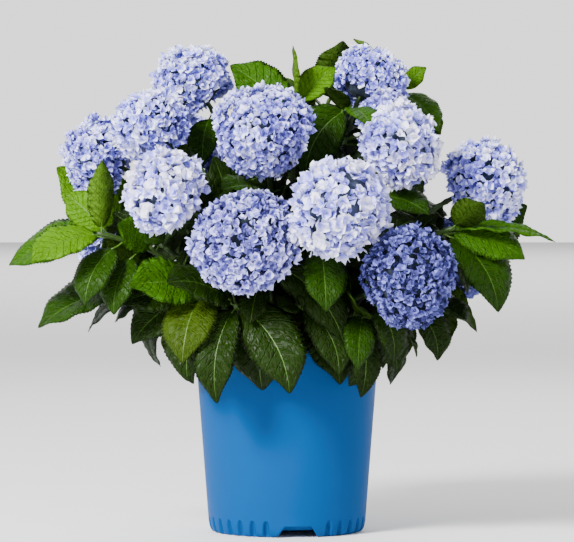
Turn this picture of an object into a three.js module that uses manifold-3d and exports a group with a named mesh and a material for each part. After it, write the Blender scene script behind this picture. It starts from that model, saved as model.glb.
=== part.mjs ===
/**
 * A mophead hydrangea in a trade two-gallon nursery pot.
 *
 * Millimetres, +Z up, origin at the middle of the pot's underside; -Y is the side with the low, full blooms.
 * A squat root crown stands on the potting mix. Canes arch out of it, and each carries one shoot: a stem with
 * pairs of opposite leaves, each pair turned a quarter from the last, and a globe of florets at its tip.
 * Leafy shoots with no bloom fill the crown and hang over the pot's rim.
 */
import * as THREE from "three";
import { mergeVertices } from "three/addons/utils/BufferGeometryUtils.js";
import Module from "manifold-3d";

const wasm = await Module();
wasm.setup();

// ---------------------------------------------------------------- driving dimensions

const POT = {
  height: 220,
  lipRadius: 112.5,
  lipHeight: 9,
  shoulderRadius: 108.9, // outside of the wall, just under the lip
  heelRadius: 93.8, // outside of the wall, where the base starts to round
  heelHeight: 13,
  wall: 2.2,
  floorUnderside: 8,
  floorTop: 11,
  footInner: 84,
  sides: 32,
};
const NOTCH = { count: 3, firstAngle: -81.8, bottomWidth: 48, topWidth: 32, height: 12.5, backRadius: 83 };
const FLUTE = { perSector: 8, fromNotch: 23.4, pitch: 10.46, halfWidth: 3, depth: 3, top: 15 };
const MIX_TOP = 195;
const CLEAR = 0.35; // gap between pieces that touch

const CROWN = { base: 195.35, radius: 46, height: 22 };
// The shoots are rooted in rings on the root crown: each ring's radius, and its rise above the crown's base.
const RINGS = [
  { radius: 12, rise: 20, places: 5 },
  { radius: 27, rise: 17, places: 11 },
  { radius: 41, rise: 7, places: 20 },
];

const CANE = { rootRadius: 4.6, tipRadius: 3.5, sides: 4, steps: 4 };
const STEM = { rootRadius: 3.3, tipRadius: 2.6, sides: 3, steps: 5 };
const SWAY = { reach: 0.36, rise: 0.74, step: 6, tries: 31 }; // how a shoot rises, and bends round the others

const LEAF = {
  halfWidth: 0.33, // of the blade's length
  thickness: 0.02, // of the blade's length, at the midrib
  petioles: { bloom: [16, 20, 24], leafy: [8, 12, 18, 24] }, // the length for each pair, from the tip down
  petioleRadius: 1.5,
  rooted: 4, // how far the petiole runs on behind the stem's heart
  fold: 16, // degrees that each half of the blade rises from the midrib
  stations: [0.3, 0.66], // where the blade's corners are, as shares of its length
  room: 1.1, // kept free on the faces of each blade
  edgeRoom: 2.4, // and beyond its edges
  young: 0.7, // width of an upright young blade, still half folded, against a grown one's
  skirt: { height: 165, radius: 110, slope: 0.45 }, // no leaf hangs below this line, which rises outwards
  tries: 12,
  shrink: 0.045, // how much smaller a leaf grows at each try
  turnStep: 15, // degrees
  facesFront: 0.8, // how far a blade with a place to reach turns to the front
};
const LIGHT_CENTRE = new THREE.Vector3(0, 0, 235); // blades turn to face away from here
const UP = new THREE.Vector3(0, 0, 1);

// Shoots that end in a bloom. tip is the middle of the bloom, across its radius across the stem, and high half
// its height along it. A leaf listed in reach ends its blade there: the first pair's two sides, then the next
// pair's. A fourth number is how far that blade turns to face -Y, and a fifth its width against a grown leaf's.
// Leaves that aren't listed hang by the rule, from the shoot's turn in degrees and its length of leaf.
const BLOOM_SHOOTS = [
  { key: "top_left", tip: [-114, 20, 535], across: 50, high: 44, turn: 35, leaf: 96,
    reach: [[-100, -15, 436]] },
  { key: "far_left_upper", tip: [-161, -60, 482], across: 45, high: 43, turn: 80, leaf: 92 },
  { key: "far_left_lower", tip: [-223, 0, 447], across: 46, high: 44, turn: 30, leaf: 96 },
  { key: "front_left", tip: [-140, -150, 404], across: 49, high: 44, turn: 60, leaf: 104 },
  { key: "upper_middle", tip: [-28, -100, 474], across: 60, high: 47, turn: 20, leaf: 108,
    reach: [null, null, [-75, -125, 406]] },
  { key: "front_low_left", tip: [-50, -190, 345], across: 63, high: 50, turn: 70, leaf: 112,
    reach: [null, [66, -160, 228, 0.8, 0.55]] },
  { key: "front_middle", tip: [59, -215, 386], across: 57, high: 50, turn: 40, leaf: 108 },
  { key: "upper_right", tip: [133, -110, 458], across: 49, high: 43, turn: 15, leaf: 104,
    reach: [null, null, [165, -120, 377]] },
  { key: "top_right", tip: [100, 65, 540], across: 48, high: 37, turn: 50, leaf: 96 },
  { key: "top_right_inner", tip: [118, 0, 486], across: 38, high: 34, turn: 85, leaf: 84 },
  { key: "far_right", tip: [233, -20, 412], across: 58, high: 51, turn: 55, leaf: 108 },
  { key: "front_low_right", tip: [139, -198, 306], across: 54, high: 52, turn: 25, leaf: 104 },
  { key: "back_left_upper", tip: [-130, 140, 455], across: 52, high: 45, turn: 45, leaf: 100 },
  { key: "back_middle_upper", tip: [-20, 165, 470], across: 54, high: 46, turn: 10, leaf: 104 },
  { key: "back_right_upper", tip: [130, 175, 440], across: 52, high: 45, turn: 70, leaf: 100 },
  { key: "back_far_left", tip: [-215, 130, 345], across: 50, high: 44, turn: 20, leaf: 104 },
  { key: "back_low_left", tip: [-95, 235, 350], across: 56, high: 48, turn: 65, leaf: 106 },
  { key: "back_low_right", tip: [55, 250, 345], across: 56, high: 48, turn: 30, leaf: 106 },
  { key: "back_far_right", tip: [205, 150, 320], across: 52, high: 46, turn: 75, leaf: 104 },
];

// Shoots with no bloom.
const LEAFY_SHOOTS = [
  { key: "low_left_front", tip: [-98, -112, 290], turn: 45, leaf: 108,
    reach: [[-180, -175, 296], [-126, -165, 207, -0.9], [-193, -120, 274], [-180, -105, 226], [-115, -118, 184]] },
  { key: "left_fan", tip: [-219, -130, 356], turn: 20, leaf: 108,
    reach: [[-212, -154, 440, 0], [-292, -170, 322], [-325, -85, 318, 0], [-262, -110, 402], [-232, -155, 273],
      [-142, -98, 346], [-199, -145, 262]] },
  { key: "left_back_fan", tip: [-206, 72, 362], turn: 35, leaf: 104, reach: [[-279, 58, 434, 2]] },
  { key: "left_low", tip: [-178, -60, 292], turn: 40, leaf: 112, reach: [[-292, -70, 244, 0.2]] },
  { key: "top_fan", tip: [10, -15, 512], turn: 0, leaf: 96,
    reach: [[7, -25, 578], [58, 10, 553, 2], [-68, 0, 555, 3]] },
  { key: "top_right_fan", tip: [76, -12, 508], turn: 30, leaf: 96, reach: [[22, -32, 420, 2], [99, -70, 479]] },
  { key: "top_back_fan", tip: [52, 128, 518], turn: 60, leaf: 92, reach: [[68, 75, 588]] },
  { key: "top_right_back", tip: [140, 126, 530], turn: 10, leaf: 90,
    reach: [[171, 112, 557, 2], [183, 92, 478, 1.4]] },
  { key: "right_fan", tip: [196, -98, 362], turn: 50, leaf: 108,
    reach: [[313, -98, 345, 0, 0.5], null, [276, -104, 325], [241, -125, 264]] },
  { key: "right_back_fan", tip: [222, 50, 330], turn: 15, leaf: 104, reach: [[288, 0, 361], null, [292, 74, 388]] },
  { key: "low_right_front", tip: [148, -66, 270], turn: 70, leaf: 104,
    reach: [[206, -140, 256], [176, -74, 206]] },
  { key: "rim_front_left", tip: [-58, -140, 272], turn: 10, leaf: 108,
    reach: [[-80, -165, 161, 0.8, 0.65], [3, -178, 173, 0.8, 0.85]] },
  { key: "rim_front", tip: [14, -140, 274], turn: 55, leaf: 108, reach: [[51, -165, 192, 0.8, 0.75]] },
  { key: "rim_front_right", tip: [92, -128, 262], turn: 30, leaf: 104,
    reach: [[74, -178, 200, 0.8, 0.75], [129, -95, 192], [85, -130, 166, 0.8, 0.6]] },
  { key: "rim_back_right", tip: [100, 120, 262], turn: 45, leaf: 106 },
  { key: "rim_back", tip: [-22, 138, 270], turn: 0, leaf: 106 },
  { key: "rim_back_left", tip: [-130, 70, 262], turn: 60, leaf: 106 },
];
const PAIRS = { bloom: 3, leafy: 4 };
const PAIR_DROP = [5, 17, 35, 59]; // how far below a leafy shoot's tip its pairs stand

const COLOURS = {
  pot: 0x0085d6,
  mix: 0x3b2a1e,
  bark: 0x6f5a3c,
  leaf: 0x3f6b1c,
};

// ---------------------------------------------------------------- solids

/** A closed three.js geometry as a solid. */
function solidOf(geometry) {
  for (const name of Object.keys(geometry.attributes)) {
    if (name !== "position") geometry.deleteAttribute(name);
  }
  const merged = mergeVertices(geometry, 1e-3);
  const corners = merged.index.array;
  const triVerts = [];
  for (let i = 0; i < corners.length; i += 3) {
    const [a, b, c] = [corners[i], corners[i + 1], corners[i + 2]];
    if (a !== b && b !== c && c !== a) triVerts.push(a, b, c);
  }
  const make = (order) =>
    new wasm.Manifold(
      new wasm.Mesh({
        numProp: 3,
        vertProperties: merged.attributes.position.array,
        triVerts: new Uint32Array(order),
      }),
    );
  const solid = make(triVerts);
  return solid.volume() > 0 ? solid : make(triVerts.reverse());
}

/** A solid as a named mesh. */
function meshOf(solid, name, colour, roughness) {
  const { vertProperties, triVerts } = solid.getMesh();
  const geometry = new THREE.BufferGeometry();
  geometry.setAttribute("position", new THREE.BufferAttribute(vertProperties, 3));
  geometry.setIndex(new THREE.BufferAttribute(triVerts, 1));
  const material = new THREE.MeshStandardMaterial({ color: colour, roughness, metalness: 0 });
  const mesh = new THREE.Mesh(geometry, material);
  mesh.name = name;
  return mesh;
}

/** A profile of [radius, height] pairs turned about the vertical axis. */
function turned(profile, sides) {
  const points = profile.map(([radius, height]) => new THREE.Vector2(radius, height));
  return new THREE.LatheGeometry(points, sides).rotateX(Math.PI / 2);
}

/** Moves every vertex of a geometry to place(vertex). */
function reshaped(geometry, place) {
  const at = geometry.attributes.position;
  const vertex = new THREE.Vector3();
  for (let i = 0; i < at.count; i++) {
    const moved = place(vertex.fromBufferAttribute(at, i));
    at.setXYZ(i, moved.x, moved.y, moved.z);
  }
  return geometry;
}

/** Repeatable chance from 0 to 1 for whole-number keys. */
function chance(a, b = 0, c = 0, d = 0) {
  const x = Math.sin(a * 12.9898 + b * 78.233 + c * 37.719 + d * 4.581) * 43758.5453;
  return x - Math.floor(x);
}

const radians = THREE.MathUtils.degToRad;
const mix = THREE.MathUtils.lerp;

// ---------------------------------------------------------------- pot, mix and root crown

/** Inside radius of the pot's wall at a height. */
function insideRadius(height) {
  const share = (height - POT.heelHeight) / (POT.height - POT.lipHeight - POT.heelHeight);
  return mix(POT.heelRadius, POT.shoulderRadius, share) - POT.wall;
}

function makePot() {
  const under = POT.height - POT.lipHeight;
  const shell = solidOf(
    turned(
      [
        [0, POT.floorTop],
        [80, POT.floorTop],
        [insideRadius(22), 22],
        [insideRadius(under), under],
        [107.3, POT.height],
        [111.7, POT.height],
        [POT.lipRadius, POT.height - 1],
        [POT.lipRadius, under],
        [POT.shoulderRadius, under],
        [POT.heelRadius, POT.heelHeight],
        [92.4, 5.5],
        [90, 1.5],
        [86.8, 0],
        [POT.footInner, 0],
        [POT.footInner, POT.floorUnderside],
        [14, POT.floorUnderside],
        [12, 0],
        [0, 0],
      ],
      POT.sides,
    ),
  );
  const cuts = [];
  for (let n = 0; n < NOTCH.count; n++) {
    const angle = NOTCH.firstAngle + (n * 360) / NOTCH.count;
    cuts.push(solidOf(notchCutter(angle)));
    for (let k = 0; k < FLUTE.perSector; k++) {
      cuts.push(solidOf(fluteCutter(angle + FLUTE.fromNotch + k * FLUTE.pitch)));
    }
  }
  return shell.subtract(wasm.Manifold.union(cuts));
}

/** The drain notch in the foot: a trapezoid cut in to the floor plate. */
function notchCutter(angle) {
  const below = 2; // the cutter runs on under the foot
  const flare = (NOTCH.bottomWidth - NOTCH.topWidth) / 2 / NOTCH.height;
  const shape = new THREE.Shape();
  shape.moveTo(-NOTCH.bottomWidth / 2 - flare * below, -below);
  shape.lineTo(NOTCH.bottomWidth / 2 + flare * below, -below);
  shape.lineTo(NOTCH.topWidth / 2, NOTCH.height);
  shape.lineTo(-NOTCH.topWidth / 2, NOTCH.height);
  return new THREE.ExtrudeGeometry(shape, { depth: 30, bevelEnabled: false })
    .rotateX(Math.PI / 2)
    .rotateZ(Math.PI / 2)
    .translate(NOTCH.backRadius, 0, 0)
    .rotateZ(radians(angle));
}

/** One upright flute pressed into the heel of the wall. */
function fluteCutter(angle) {
  const reach = 12;
  return new THREE.OctahedronGeometry(1)
    .rotateZ(Math.PI / 4)
    .scale(FLUTE.depth * Math.SQRT2, FLUTE.halfWidth * Math.SQRT2, reach)
    .translate(POT.heelRadius + 0.6, 0, FLUTE.top - reach)
    .rotateZ(radians(angle));
}

function makeMix() {
  const gap = CLEAR + 0.1;
  return solidOf(
    turned(
      [
        [0, POT.floorTop + CLEAR],
        [80 - gap, POT.floorTop + CLEAR],
        [insideRadius(22) - gap, 22 + CLEAR],
        [insideRadius(MIX_TOP - 3) - gap, MIX_TOP - 3],
        [80, MIX_TOP],
        [0, MIX_TOP],
      ],
      POT.sides,
    ),
  );
}

/** The woody base that the canes spring from, or the same form grown by a margin. */
function makeCrown(grow = 0) {
  const { base, radius, height } = CROWN;
  const profile = [
    [radius, 0],
    [radius - 2, 4],
    [radius - 8, 9],
    [radius - 18, height - 5],
    [radius - 31, height - 1],
  ];
  return solidOf(
    turned(
      [
        [0, base - grow],
        ...profile.map(([r, z], i) => [r + grow, base + z + (i ? grow : -grow)]),
        [0, base + height + grow],
      ],
      16,
    ),
  );
}

// ---------------------------------------------------------------- shoots

/** Where each shoot springs from the root crown: the nearest go to the inner ring, in order of direction. */
function giveRoots(shoots) {
  const far = (s) => Math.hypot(s.tip[0], s.tip[1]);
  const direction = (s) => Math.atan2(s.tip[1], s.tip[0]);
  const waiting = [...shoots].sort((a, b) => far(a) - far(b));
  for (const { radius, rise, places } of RINGS) {
    const ring = waiting.splice(0, places).sort((a, b) => direction(a) - direction(b));
    const step = (2 * Math.PI) / ring.length;
    const start = ring.reduce((sum, s, i) => sum + direction(s) - i * step, 0) / ring.length;
    ring.forEach((s, i) => {
      const angle = start + i * step;
      s.root = new THREE.Vector3(radius * Math.cos(angle), radius * Math.sin(angle), CROWN.base + rise);
    });
  }
}

/** The line that a shoot follows from the root crown to its tip, its bend pushed sideways by a try's share. */
function giveLine(shoot, attempt = 0) {
  const tip = new THREE.Vector3(...shoot.tip);
  const sideways = new THREE.Vector3(-tip.y, tip.x, 0).normalize();
  const bend = new THREE.Vector3(
    mix(shoot.root.x, tip.x, SWAY.reach),
    mix(shoot.root.y, tip.y, SWAY.reach),
    mix(shoot.root.z, tip.z, SWAY.rise) + 14,
  ).addScaledVector(sideways, SWAY.step * shift(attempt));
  shoot.line = new THREE.QuadraticBezierCurve3(shoot.root, bend, tip);
  shoot.length = shoot.line.getLength();
  shoot.axis ??= shoot.line.getTangentAt(1);
  shoot.split = shoot.across ? 1 - (pairDistance(shoot, shoot.pairs - 1) + 22) / shoot.length : 0;
  shoot.acrossLine = new THREE.Vector3()
    .crossVectors(bend.clone().sub(shoot.root), tip.clone().sub(shoot.root))
    .normalize();
}

/** A tapering limb along a stretch of a shoot's line. */
function limb(shoot, from, to, { rootRadius, tipRadius, sides, steps }) {
  const side = shoot.acrossLine;
  return solidOf(
    reshaped(new THREE.CylinderGeometry(tipRadius, rootRadius, 1, sides, steps), (v) => {
      const u = THREE.MathUtils.clamp(mix(from, to, v.y + 0.5), 0, 1);
      const along = shoot.line.getTangentAt(u);
      const out = new THREE.Vector3().crossVectors(side, along);
      return shoot.line.getPointAt(u).addScaledVector(side, v.x).addScaledVector(out, v.z);
    }),
  );
}

/** The middle of a shoot's stem at a share of its line: straight between the stem's sections. */
function heartOf(shoot, u) {
  const section = (1 - shoot.split) / STEM.steps;
  const below = Math.min(Math.floor((u - shoot.split) / section), STEM.steps - 1);
  const from = shoot.split + below * section;
  const ends = [from, Math.min(from + section, 1)].map((end) => shoot.line.getPointAt(end));
  return ends[0].lerp(ends[1], (u - from) / section);
}

/** How far below the tip a pair of leaves stands, counted from the tip. */
function pairDistance(shoot, pair) {
  return shoot.across ? shoot.high * 0.7 + 12 + pair * 40 : PAIR_DROP[pair];
}

// ---------------------------------------------------------------- leaves

/** Which way and how far to shift a leaf on its nth try: 0, 1, -1, 2, -2 and so on. */
function shift(attempt) {
  return Math.ceil(attempt / 2) * (attempt % 2 ? 1 : -1);
}

/** The pose of one leaf: its foot on the stem, the way it leaves, and how its blade arches over. */
function leafPose(shoot, pair, side, attempt) {
  const u = 1 - pairDistance(shoot, pair) / shoot.length;
  const foot = heartOf(shoot, u);
  const reach = shoot.reach?.[2 * pair + side];
  const petiole = LEAF.petioles[shoot.across ? "bloom" : "leafy"][pair];
  const pose = reach
    ? reachingPose(foot, reach, attempt, petiole)
    : hangingPose(shoot, pair, side, attempt, u, foot);
  pose.petiole = petiole;
  pose.foot = foot;
  pose.leaving = headed(pose, pose.pitch);
  pose.start = foot.clone().addScaledVector(pose.leaving, petiole);
  pose.flat = new THREE.Vector3().crossVectors(pose.heading, UP);
  const facing = pose.start.clone().sub(LIGHT_CENTRE).normalize().addScaledVector(UP, 0.3);
  facing.y -= pose.front;
  const normal = new THREE.Vector3().crossVectors(pose.flat, headed(pose, pose.pitch - pose.sag / 2));
  pose.roll = Math.atan2(facing.dot(pose.flat), Math.max(facing.dot(normal), 0.15));
  return pose;
}

/** The direction at a slope from the level way that a leaf heads. */
function headed({ heading }, slope) {
  return heading.clone().multiplyScalar(Math.cos(slope)).addScaledVector(UP, Math.sin(slope));
}

/** A leaf that stands at the shoot's turn, lifts off the stem and hangs over. */
function hangingPose(shoot, pair, side, attempt, u, foot) {
  const along = shoot.line.getTangentAt(u);
  const spread = 24 * (chance(shoot.index, pair, side) - 0.5) + LEAF.turnStep * shift(attempt);
  const turn = radians(shoot.turn + 90 * pair + 180 * side + spread);
  const other = new THREE.Vector3().crossVectors(shoot.acrossLine, along);
  const outward = new THREE.Vector3(foot.x, foot.y, 0).normalize();
  const away = new THREE.Vector3()
    .addScaledVector(shoot.acrossLine, Math.cos(turn))
    .addScaledVector(other, Math.sin(turn))
    .addScaledVector(outward, 0.5);
  away.addScaledVector(along, -away.dot(along)).normalize();

  const lift = radians(shoot.across ? 24 - 6 * pair : [58, 36, 18, 6][pair]);
  const leaving = away.multiplyScalar(Math.cos(lift)).addScaledVector(along, Math.sin(lift));
  const heading = new THREE.Vector3(leaving.x, leaving.y, 0);
  if (heading.length() < 0.2) heading.addScaledVector(outward, 0.3);
  const sag = shoot.across ? 52 + 14 * pair : [24, 48, 66, 78][pair];
  const share = shoot.across ? [0.84, 1, 1.06][pair] : [0.6, 0.88, 1, 1.05][pair];
  return {
    heading: heading.normalize(),
    pitch: Math.asin(THREE.MathUtils.clamp(leaving.z, -0.8, 0.95)),
    sag: radians(sag * (0.8 + 0.4 * chance(shoot.index, pair, side, 1)) + 4 * shift(attempt)),
    length: shoot.leaf * share * (0.9 + 0.2 * chance(shoot.index, pair, side, 2)) *
      (1 - LEAF.shrink * attempt),
    width: 1,
    front: 0,
  };
}

/** A leaf whose blade ends at a given point. */
function reachingPose(foot, reach, attempt, petiole) {
  const [x, y, z, front = LEAF.facesFront, narrow] = reach;
  const end = new THREE.Vector3(x, y, z);
  const sideways = new THREE.Vector3(foot.y - end.y, end.x - foot.x, 0).normalize();
  end.addScaledVector(sideways, 7 * shift(attempt));
  const slopeOf = (v) => Math.atan2(v.z, Math.hypot(v.x, v.y));
  const whole = end.clone().sub(foot);
  const heading = new THREE.Vector3(whole.x, whole.y, 0).normalize();
  const sag = THREE.MathUtils.clamp(radians(30) - slopeOf(whole) * 0.6, radians(15), radians(80));
  let pitch = slopeOf(whole) + sag / 2;
  let length = 0;
  for (let i = 0; i < 6; i++) {
    const chord = end.clone().sub(foot).addScaledVector(headed({ heading }, pitch), -petiole);
    pitch = slopeOf(chord) + sag / 2;
    length = (chord.length() * sag) / 2 / Math.sin(sag / 2);
  }
  const width = narrow ?? (slopeOf(whole) > radians(58) ? LEAF.young : 1);
  return { heading, pitch, sag, length, width, front, placed: true };
}

/** Half width of an ovate, drawn-out blade as a share of its greatest half width. */
function outline(s) {
  return 2.244 * s ** 0.55 * (1 - s) ** 0.62;
}

/** A point of a leaf at a share s of its blade: x across it in half widths, rise along its normal. */
function bladePoint(pose, s, x, rise, widen) {
  const sag = Math.max(pose.sag * s, 1e-6);
  const chord = (pose.length * s * Math.sin(sag / 2)) / (sag / 2);
  const at = pose.start.clone().addScaledVector(headed(pose, pose.pitch - sag / 2), chord);
  const half = x ? LEAF.halfWidth * pose.width * pose.length * outline(s) + widen : 0;
  return acrossLeaf(pose, at, s, x * half * Math.cos(radians(LEAF.fold)),
    half * Math.sin(radians(LEAF.fold)) + rise);
}

/** Steps off a leaf's midline: sideways, and up along its normal. */
function acrossLeaf(pose, at, s, sideways, up) {
  const { flat, roll } = pose;
  const normal = new THREE.Vector3().crossVectors(flat, headed(pose, pose.pitch - pose.sag * s));
  const side = flat.clone().multiplyScalar(Math.cos(roll)).addScaledVector(normal, -Math.sin(roll));
  const top = normal.multiplyScalar(Math.cos(roll)).addScaledVector(flat, Math.sin(roll));
  return at.addScaledVector(side, sideways).addScaledVector(top, up);
}

/**
 * A leaf with its petiole, as a four-sided ball drawn out: one pole in the stem, the other the tip. Room makes
 * it larger on all sides, and from is how far along the petiole it starts.
 */
function leaf(pose, { room = 0, edgeRoom = 0, from = -LEAF.rooted } = {}) {
  const rings = 4;
  const thick = (LEAF.thickness * pose.length) / 2 + room;
  return solidOf(
    reshaped(new THREE.SphereGeometry(1, 4, rings), (v) => {
      const ring = Math.round((Math.acos(THREE.MathUtils.clamp(v.y, -1, 1)) / Math.PI) * rings);
      const [x, ridge] = [Math.round(v.x * 1.2), Math.round(v.z * 1.2)];
      if (ring === 0) return pose.foot.clone().addScaledVector(pose.leaving, from);
      if (ring === rings) return bladePoint(pose, 1 + edgeRoom / pose.length, 0, 0, 0);
      if (ring > 1) return bladePoint(pose, LEAF.stations[ring - 2], x, ridge * thick, edgeRoom);
      const radius = LEAF.petioleRadius + room;
      const neck = pose.foot.clone().addScaledVector(pose.leaving, Math.max(pose.petiole * 0.6, from + 2));
      return acrossLeaf(pose, neck, 0, x * radius, ridge * radius);
    }),
  );
}

// ---------------------------------------------------------------- blooms

const BLOOM = { core: 0.95, florets: 6, floretSeat: 0.9, floretSpan: 0.44, floretDepth: 0.1 };

/** Turns a form about the shoot's tip so that its +Z follows the stem. */
function onTip(geometry, shoot) {
  geometry.applyQuaternion(new THREE.Quaternion().setFromUnitVectors(UP, shoot.axis));
  return geometry.translate(...shoot.tip);
}

/** A solid globe as large as the bloom grown by a margin, for keeping leaves out of it. */
function bloomSpace(shoot, grow) {
  const { across, high } = shoot;
  const globe = new THREE.IcosahedronGeometry(1, 2).scale(across + grow, across + grow, high + grow);
  return solidOf(onTip(globe, shoot));
}

/** The bloom: a core with florets standing out of it, spread evenly over the globe. */
function bloom(shoot) {
  const { across, high } = shoot;
  const core = new THREE.IcosahedronGeometry(BLOOM.core, 1).scale(across, across, high);
  const parts = [solidOf(onTip(core, shoot))];
  const golden = Math.PI * (3 - Math.sqrt(5));
  for (let k = 0; k < BLOOM.florets; k++) {
    const z = 1 - (1.72 * (k + 0.5)) / BLOOM.florets;
    const ring = Math.sqrt(1 - z * z);
    const out = new THREE.Vector3(ring * Math.cos(k * golden), ring * Math.sin(k * golden), z);
    const floret = new THREE.OctahedronGeometry(1)
      .scale(BLOOM.floretSpan, BLOOM.floretSpan, BLOOM.floretDepth)
      .rotateZ(chance(shoot.index, k) * Math.PI)
      .applyQuaternion(new THREE.Quaternion().setFromUnitVectors(UP, out))
      .translate(...out.multiplyScalar(BLOOM.floretSeat))
      .scale(across, across, high);
    parts.push(solidOf(onTip(floret, shoot)));
  }
  return wasm.Manifold.union(parts);
}

// ---------------------------------------------------------------- the plant

const shoots = [...BLOOM_SHOOTS, ...LEAFY_SHOOTS];
shoots.forEach((shoot, index) => {
  shoot.index = index + 1;
  shoot.pairs = shoot.across ? PAIRS.bloom : PAIRS.leafy;
});
giveRoots(shoots);
shoots.forEach((shoot) => giveLine(shoot));

const pot = makePot();
const potting = makeMix();
const crown = makeCrown();
const crownSpace = makeCrown(CLEAR);

const filled = []; // what is already there: its shoot, solid and box

function fill(owner, solid) {
  filled.push({ owner, solid, box: solid.boundingBox() });
}

function boxesMeet(a, b) {
  return [0, 1, 2].every((i) => a.min[i] <= b.max[i] && b.min[i] <= a.max[i]);
}

/** True if a solid meets nothing that belongs to another shoot. */
function isClear(solid, owner) {
  const box = solid.boundingBox();
  return filled.every(
    (f) => f.owner === owner || !boxesMeet(f.box, box) || f.solid.intersect(solid).isEmpty(),
  );
}

for (const shoot of shoots.filter((s) => s.across)) fill(shoot.key, bloomSpace(shoot, 1.5));

for (const shoot of shoots) {
  shoot.own = shoot.across ? [bloomSpace(shoot, 0)] : [];
  shoot.parts = [];
  giveClearLine(shoot);
  if (shoot.across) {
    shoot.cane = limb(shoot, 0, shoot.split, CANE).subtract(crownSpace);
    shoot.parts.push(limb(shoot, shoot.split + CLEAR / shoot.length, 1, STEM), bloom(shoot));
  } else {
    shoot.parts.push(limb(shoot, 0, 1, STEM).subtract(crownSpace));
  }
}

/** Bends a shoot's line until its limbs are clear of every other shoot, and keeps their space free. */
function giveClearLine(shoot) {
  for (let attempt = 0; attempt < SWAY.tries; attempt++) {
    giveLine(shoot, attempt);
    const lower = limb(shoot, 0, Math.max(shoot.split, 0.3), grown(shoot.across ? CANE : STEM));
    const upper = limb(shoot, Math.max(shoot.split, 0.3), 1, grown(STEM));
    if (!isClear(lower, shoot.key) || !isClear(upper, shoot.key)) continue;
    fill(shoot.key + " cane", lower);
    fill(shoot.key, upper);
    return;
  }
  throw new Error("no clear way for " + shoot.key);
}

/** A limb's sizes with room round it. */
function grown(sizes) {
  return { ...sizes, sides: 5, rootRadius: sizes.rootRadius + 1.2, tipRadius: sizes.tipRadius + 1.2 };
}

fill("pot", solidOf(turned([[0, 0], [90, 0], [114.5, 210], [114.5, 222.5], [0, 222.5]], 24)));

/** True if a leaf with no place to reach hangs lower than the skirt of the plant. */
function hangsTooLow(pose) {
  const { height, radius, slope } = LEAF.skirt;
  const tip = bladePoint(pose, 1, 0, 0, 0);
  return !pose.placed && tip.z < height + slope * Math.max(Math.hypot(tip.x, tip.y) - radius, 0);
}

/** Adds a leaf to a shoot at the first try that is clear of all else; a leaf with no clear try is left out. */
function growLeaf(shoot, pair, side) {
  for (let attempt = 0; attempt < LEAF.tries; attempt++) {
    const pose = leafPose(shoot, pair, side, attempt);
    if (hangsTooLow(pose)) continue;
    const space = leaf(pose, { room: LEAF.room, edgeRoom: LEAF.edgeRoom });
    const blade = leaf(pose, { from: pose.petiole * 0.8 });
    const meetsOwn = shoot.own.some((solid) => !solid.intersect(blade).isEmpty());
    if (meetsOwn || !isClear(space, shoot.key)) continue;
    shoot.parts.push(leaf(pose));
    shoot.own.push(blade);
    fill(shoot.key, space);
    return;
  }
}

/** Every leaf's place, the reaching ones first and then pair by pair, so that all shoots share the room. */
function leafPlaces() {
  const all = [];
  for (const shoot of shoots) {
    for (let k = 0; k < 2 * shoot.pairs; k++) {
      all.push({ shoot, pair: Math.floor(k / 2), side: k % 2, reach: shoot.reach?.[k] });
    }
  }
  const hanging = all.filter((place) => !place.reach).sort((a, b) => a.pair - b.pair);
  return [...all.filter((place) => place.reach), ...hanging];
}

leafPlaces().forEach(({ shoot, pair, side }) => growLeaf(shoot, pair, side));

const plant = new THREE.Group();
plant.add(meshOf(pot, "pot", COLOURS.pot, 0.4));
plant.add(meshOf(potting, "potting_mix", COLOURS.mix, 0.95));
plant.add(meshOf(crown, "root_crown", COLOURS.bark, 0.8));
for (const shoot of shoots) {
  if (shoot.cane) plant.add(meshOf(shoot.cane, "cane_" + shoot.key, COLOURS.bark, 0.8));
  plant.add(meshOf(wasm.Manifold.union(shoot.parts), "shoot_" + shoot.key, COLOURS.leaf, 0.55));
}

export default plant;
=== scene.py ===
"""A mophead hydrangea in a two-gallon nursery pot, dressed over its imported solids.

The plan of the plant is in millimetres and its meshes are in metres, +Z up, with the origin in the middle
of the pot's underside. Limbs and leaves follow the rule that the solids grew by, and each solid tells how
its shoot bent round the others and which try each leaf took.
"""

import logging
import math
from collections.abc import Iterable, Sequence
from dataclasses import dataclass, field
from enum import Enum, IntEnum
from typing import Any

import bmesh
import bpy
import numpy as np
from mathutils import Matrix, Vector
from mathutils.kdtree import KDTree


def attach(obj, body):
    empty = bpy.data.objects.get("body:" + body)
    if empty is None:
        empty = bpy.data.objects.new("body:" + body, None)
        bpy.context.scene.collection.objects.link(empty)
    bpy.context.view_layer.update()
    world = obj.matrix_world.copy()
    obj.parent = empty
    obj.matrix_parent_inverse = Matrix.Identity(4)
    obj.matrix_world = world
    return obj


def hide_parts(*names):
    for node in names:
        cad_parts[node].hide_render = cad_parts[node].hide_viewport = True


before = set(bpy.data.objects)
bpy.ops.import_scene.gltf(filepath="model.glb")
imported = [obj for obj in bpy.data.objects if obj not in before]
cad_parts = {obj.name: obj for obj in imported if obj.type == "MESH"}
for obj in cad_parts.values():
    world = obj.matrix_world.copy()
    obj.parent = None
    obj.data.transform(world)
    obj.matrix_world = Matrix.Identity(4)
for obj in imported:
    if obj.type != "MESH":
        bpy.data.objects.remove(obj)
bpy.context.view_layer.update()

Array = np.ndarray
log = logging.getLogger("hydrangea")

MM = 0.001
UP = np.array([0.0, 0.0, 1.0])
PIECE_LIMIT = 190_000  # triangles
VEINS = 9.0  # pairs of side veins along a blade
SWEEP = 2.0  # vein spaces that a side vein runs forward on its way to the edge
BLADE_MAP = "blade"  # the UV map that runs across a blade and from its foot to its tip
SEPAL_STEPS = 4  # from a bloom's palest sepal to its deepest


# ---------------------------------------------------------------- small tools


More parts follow.
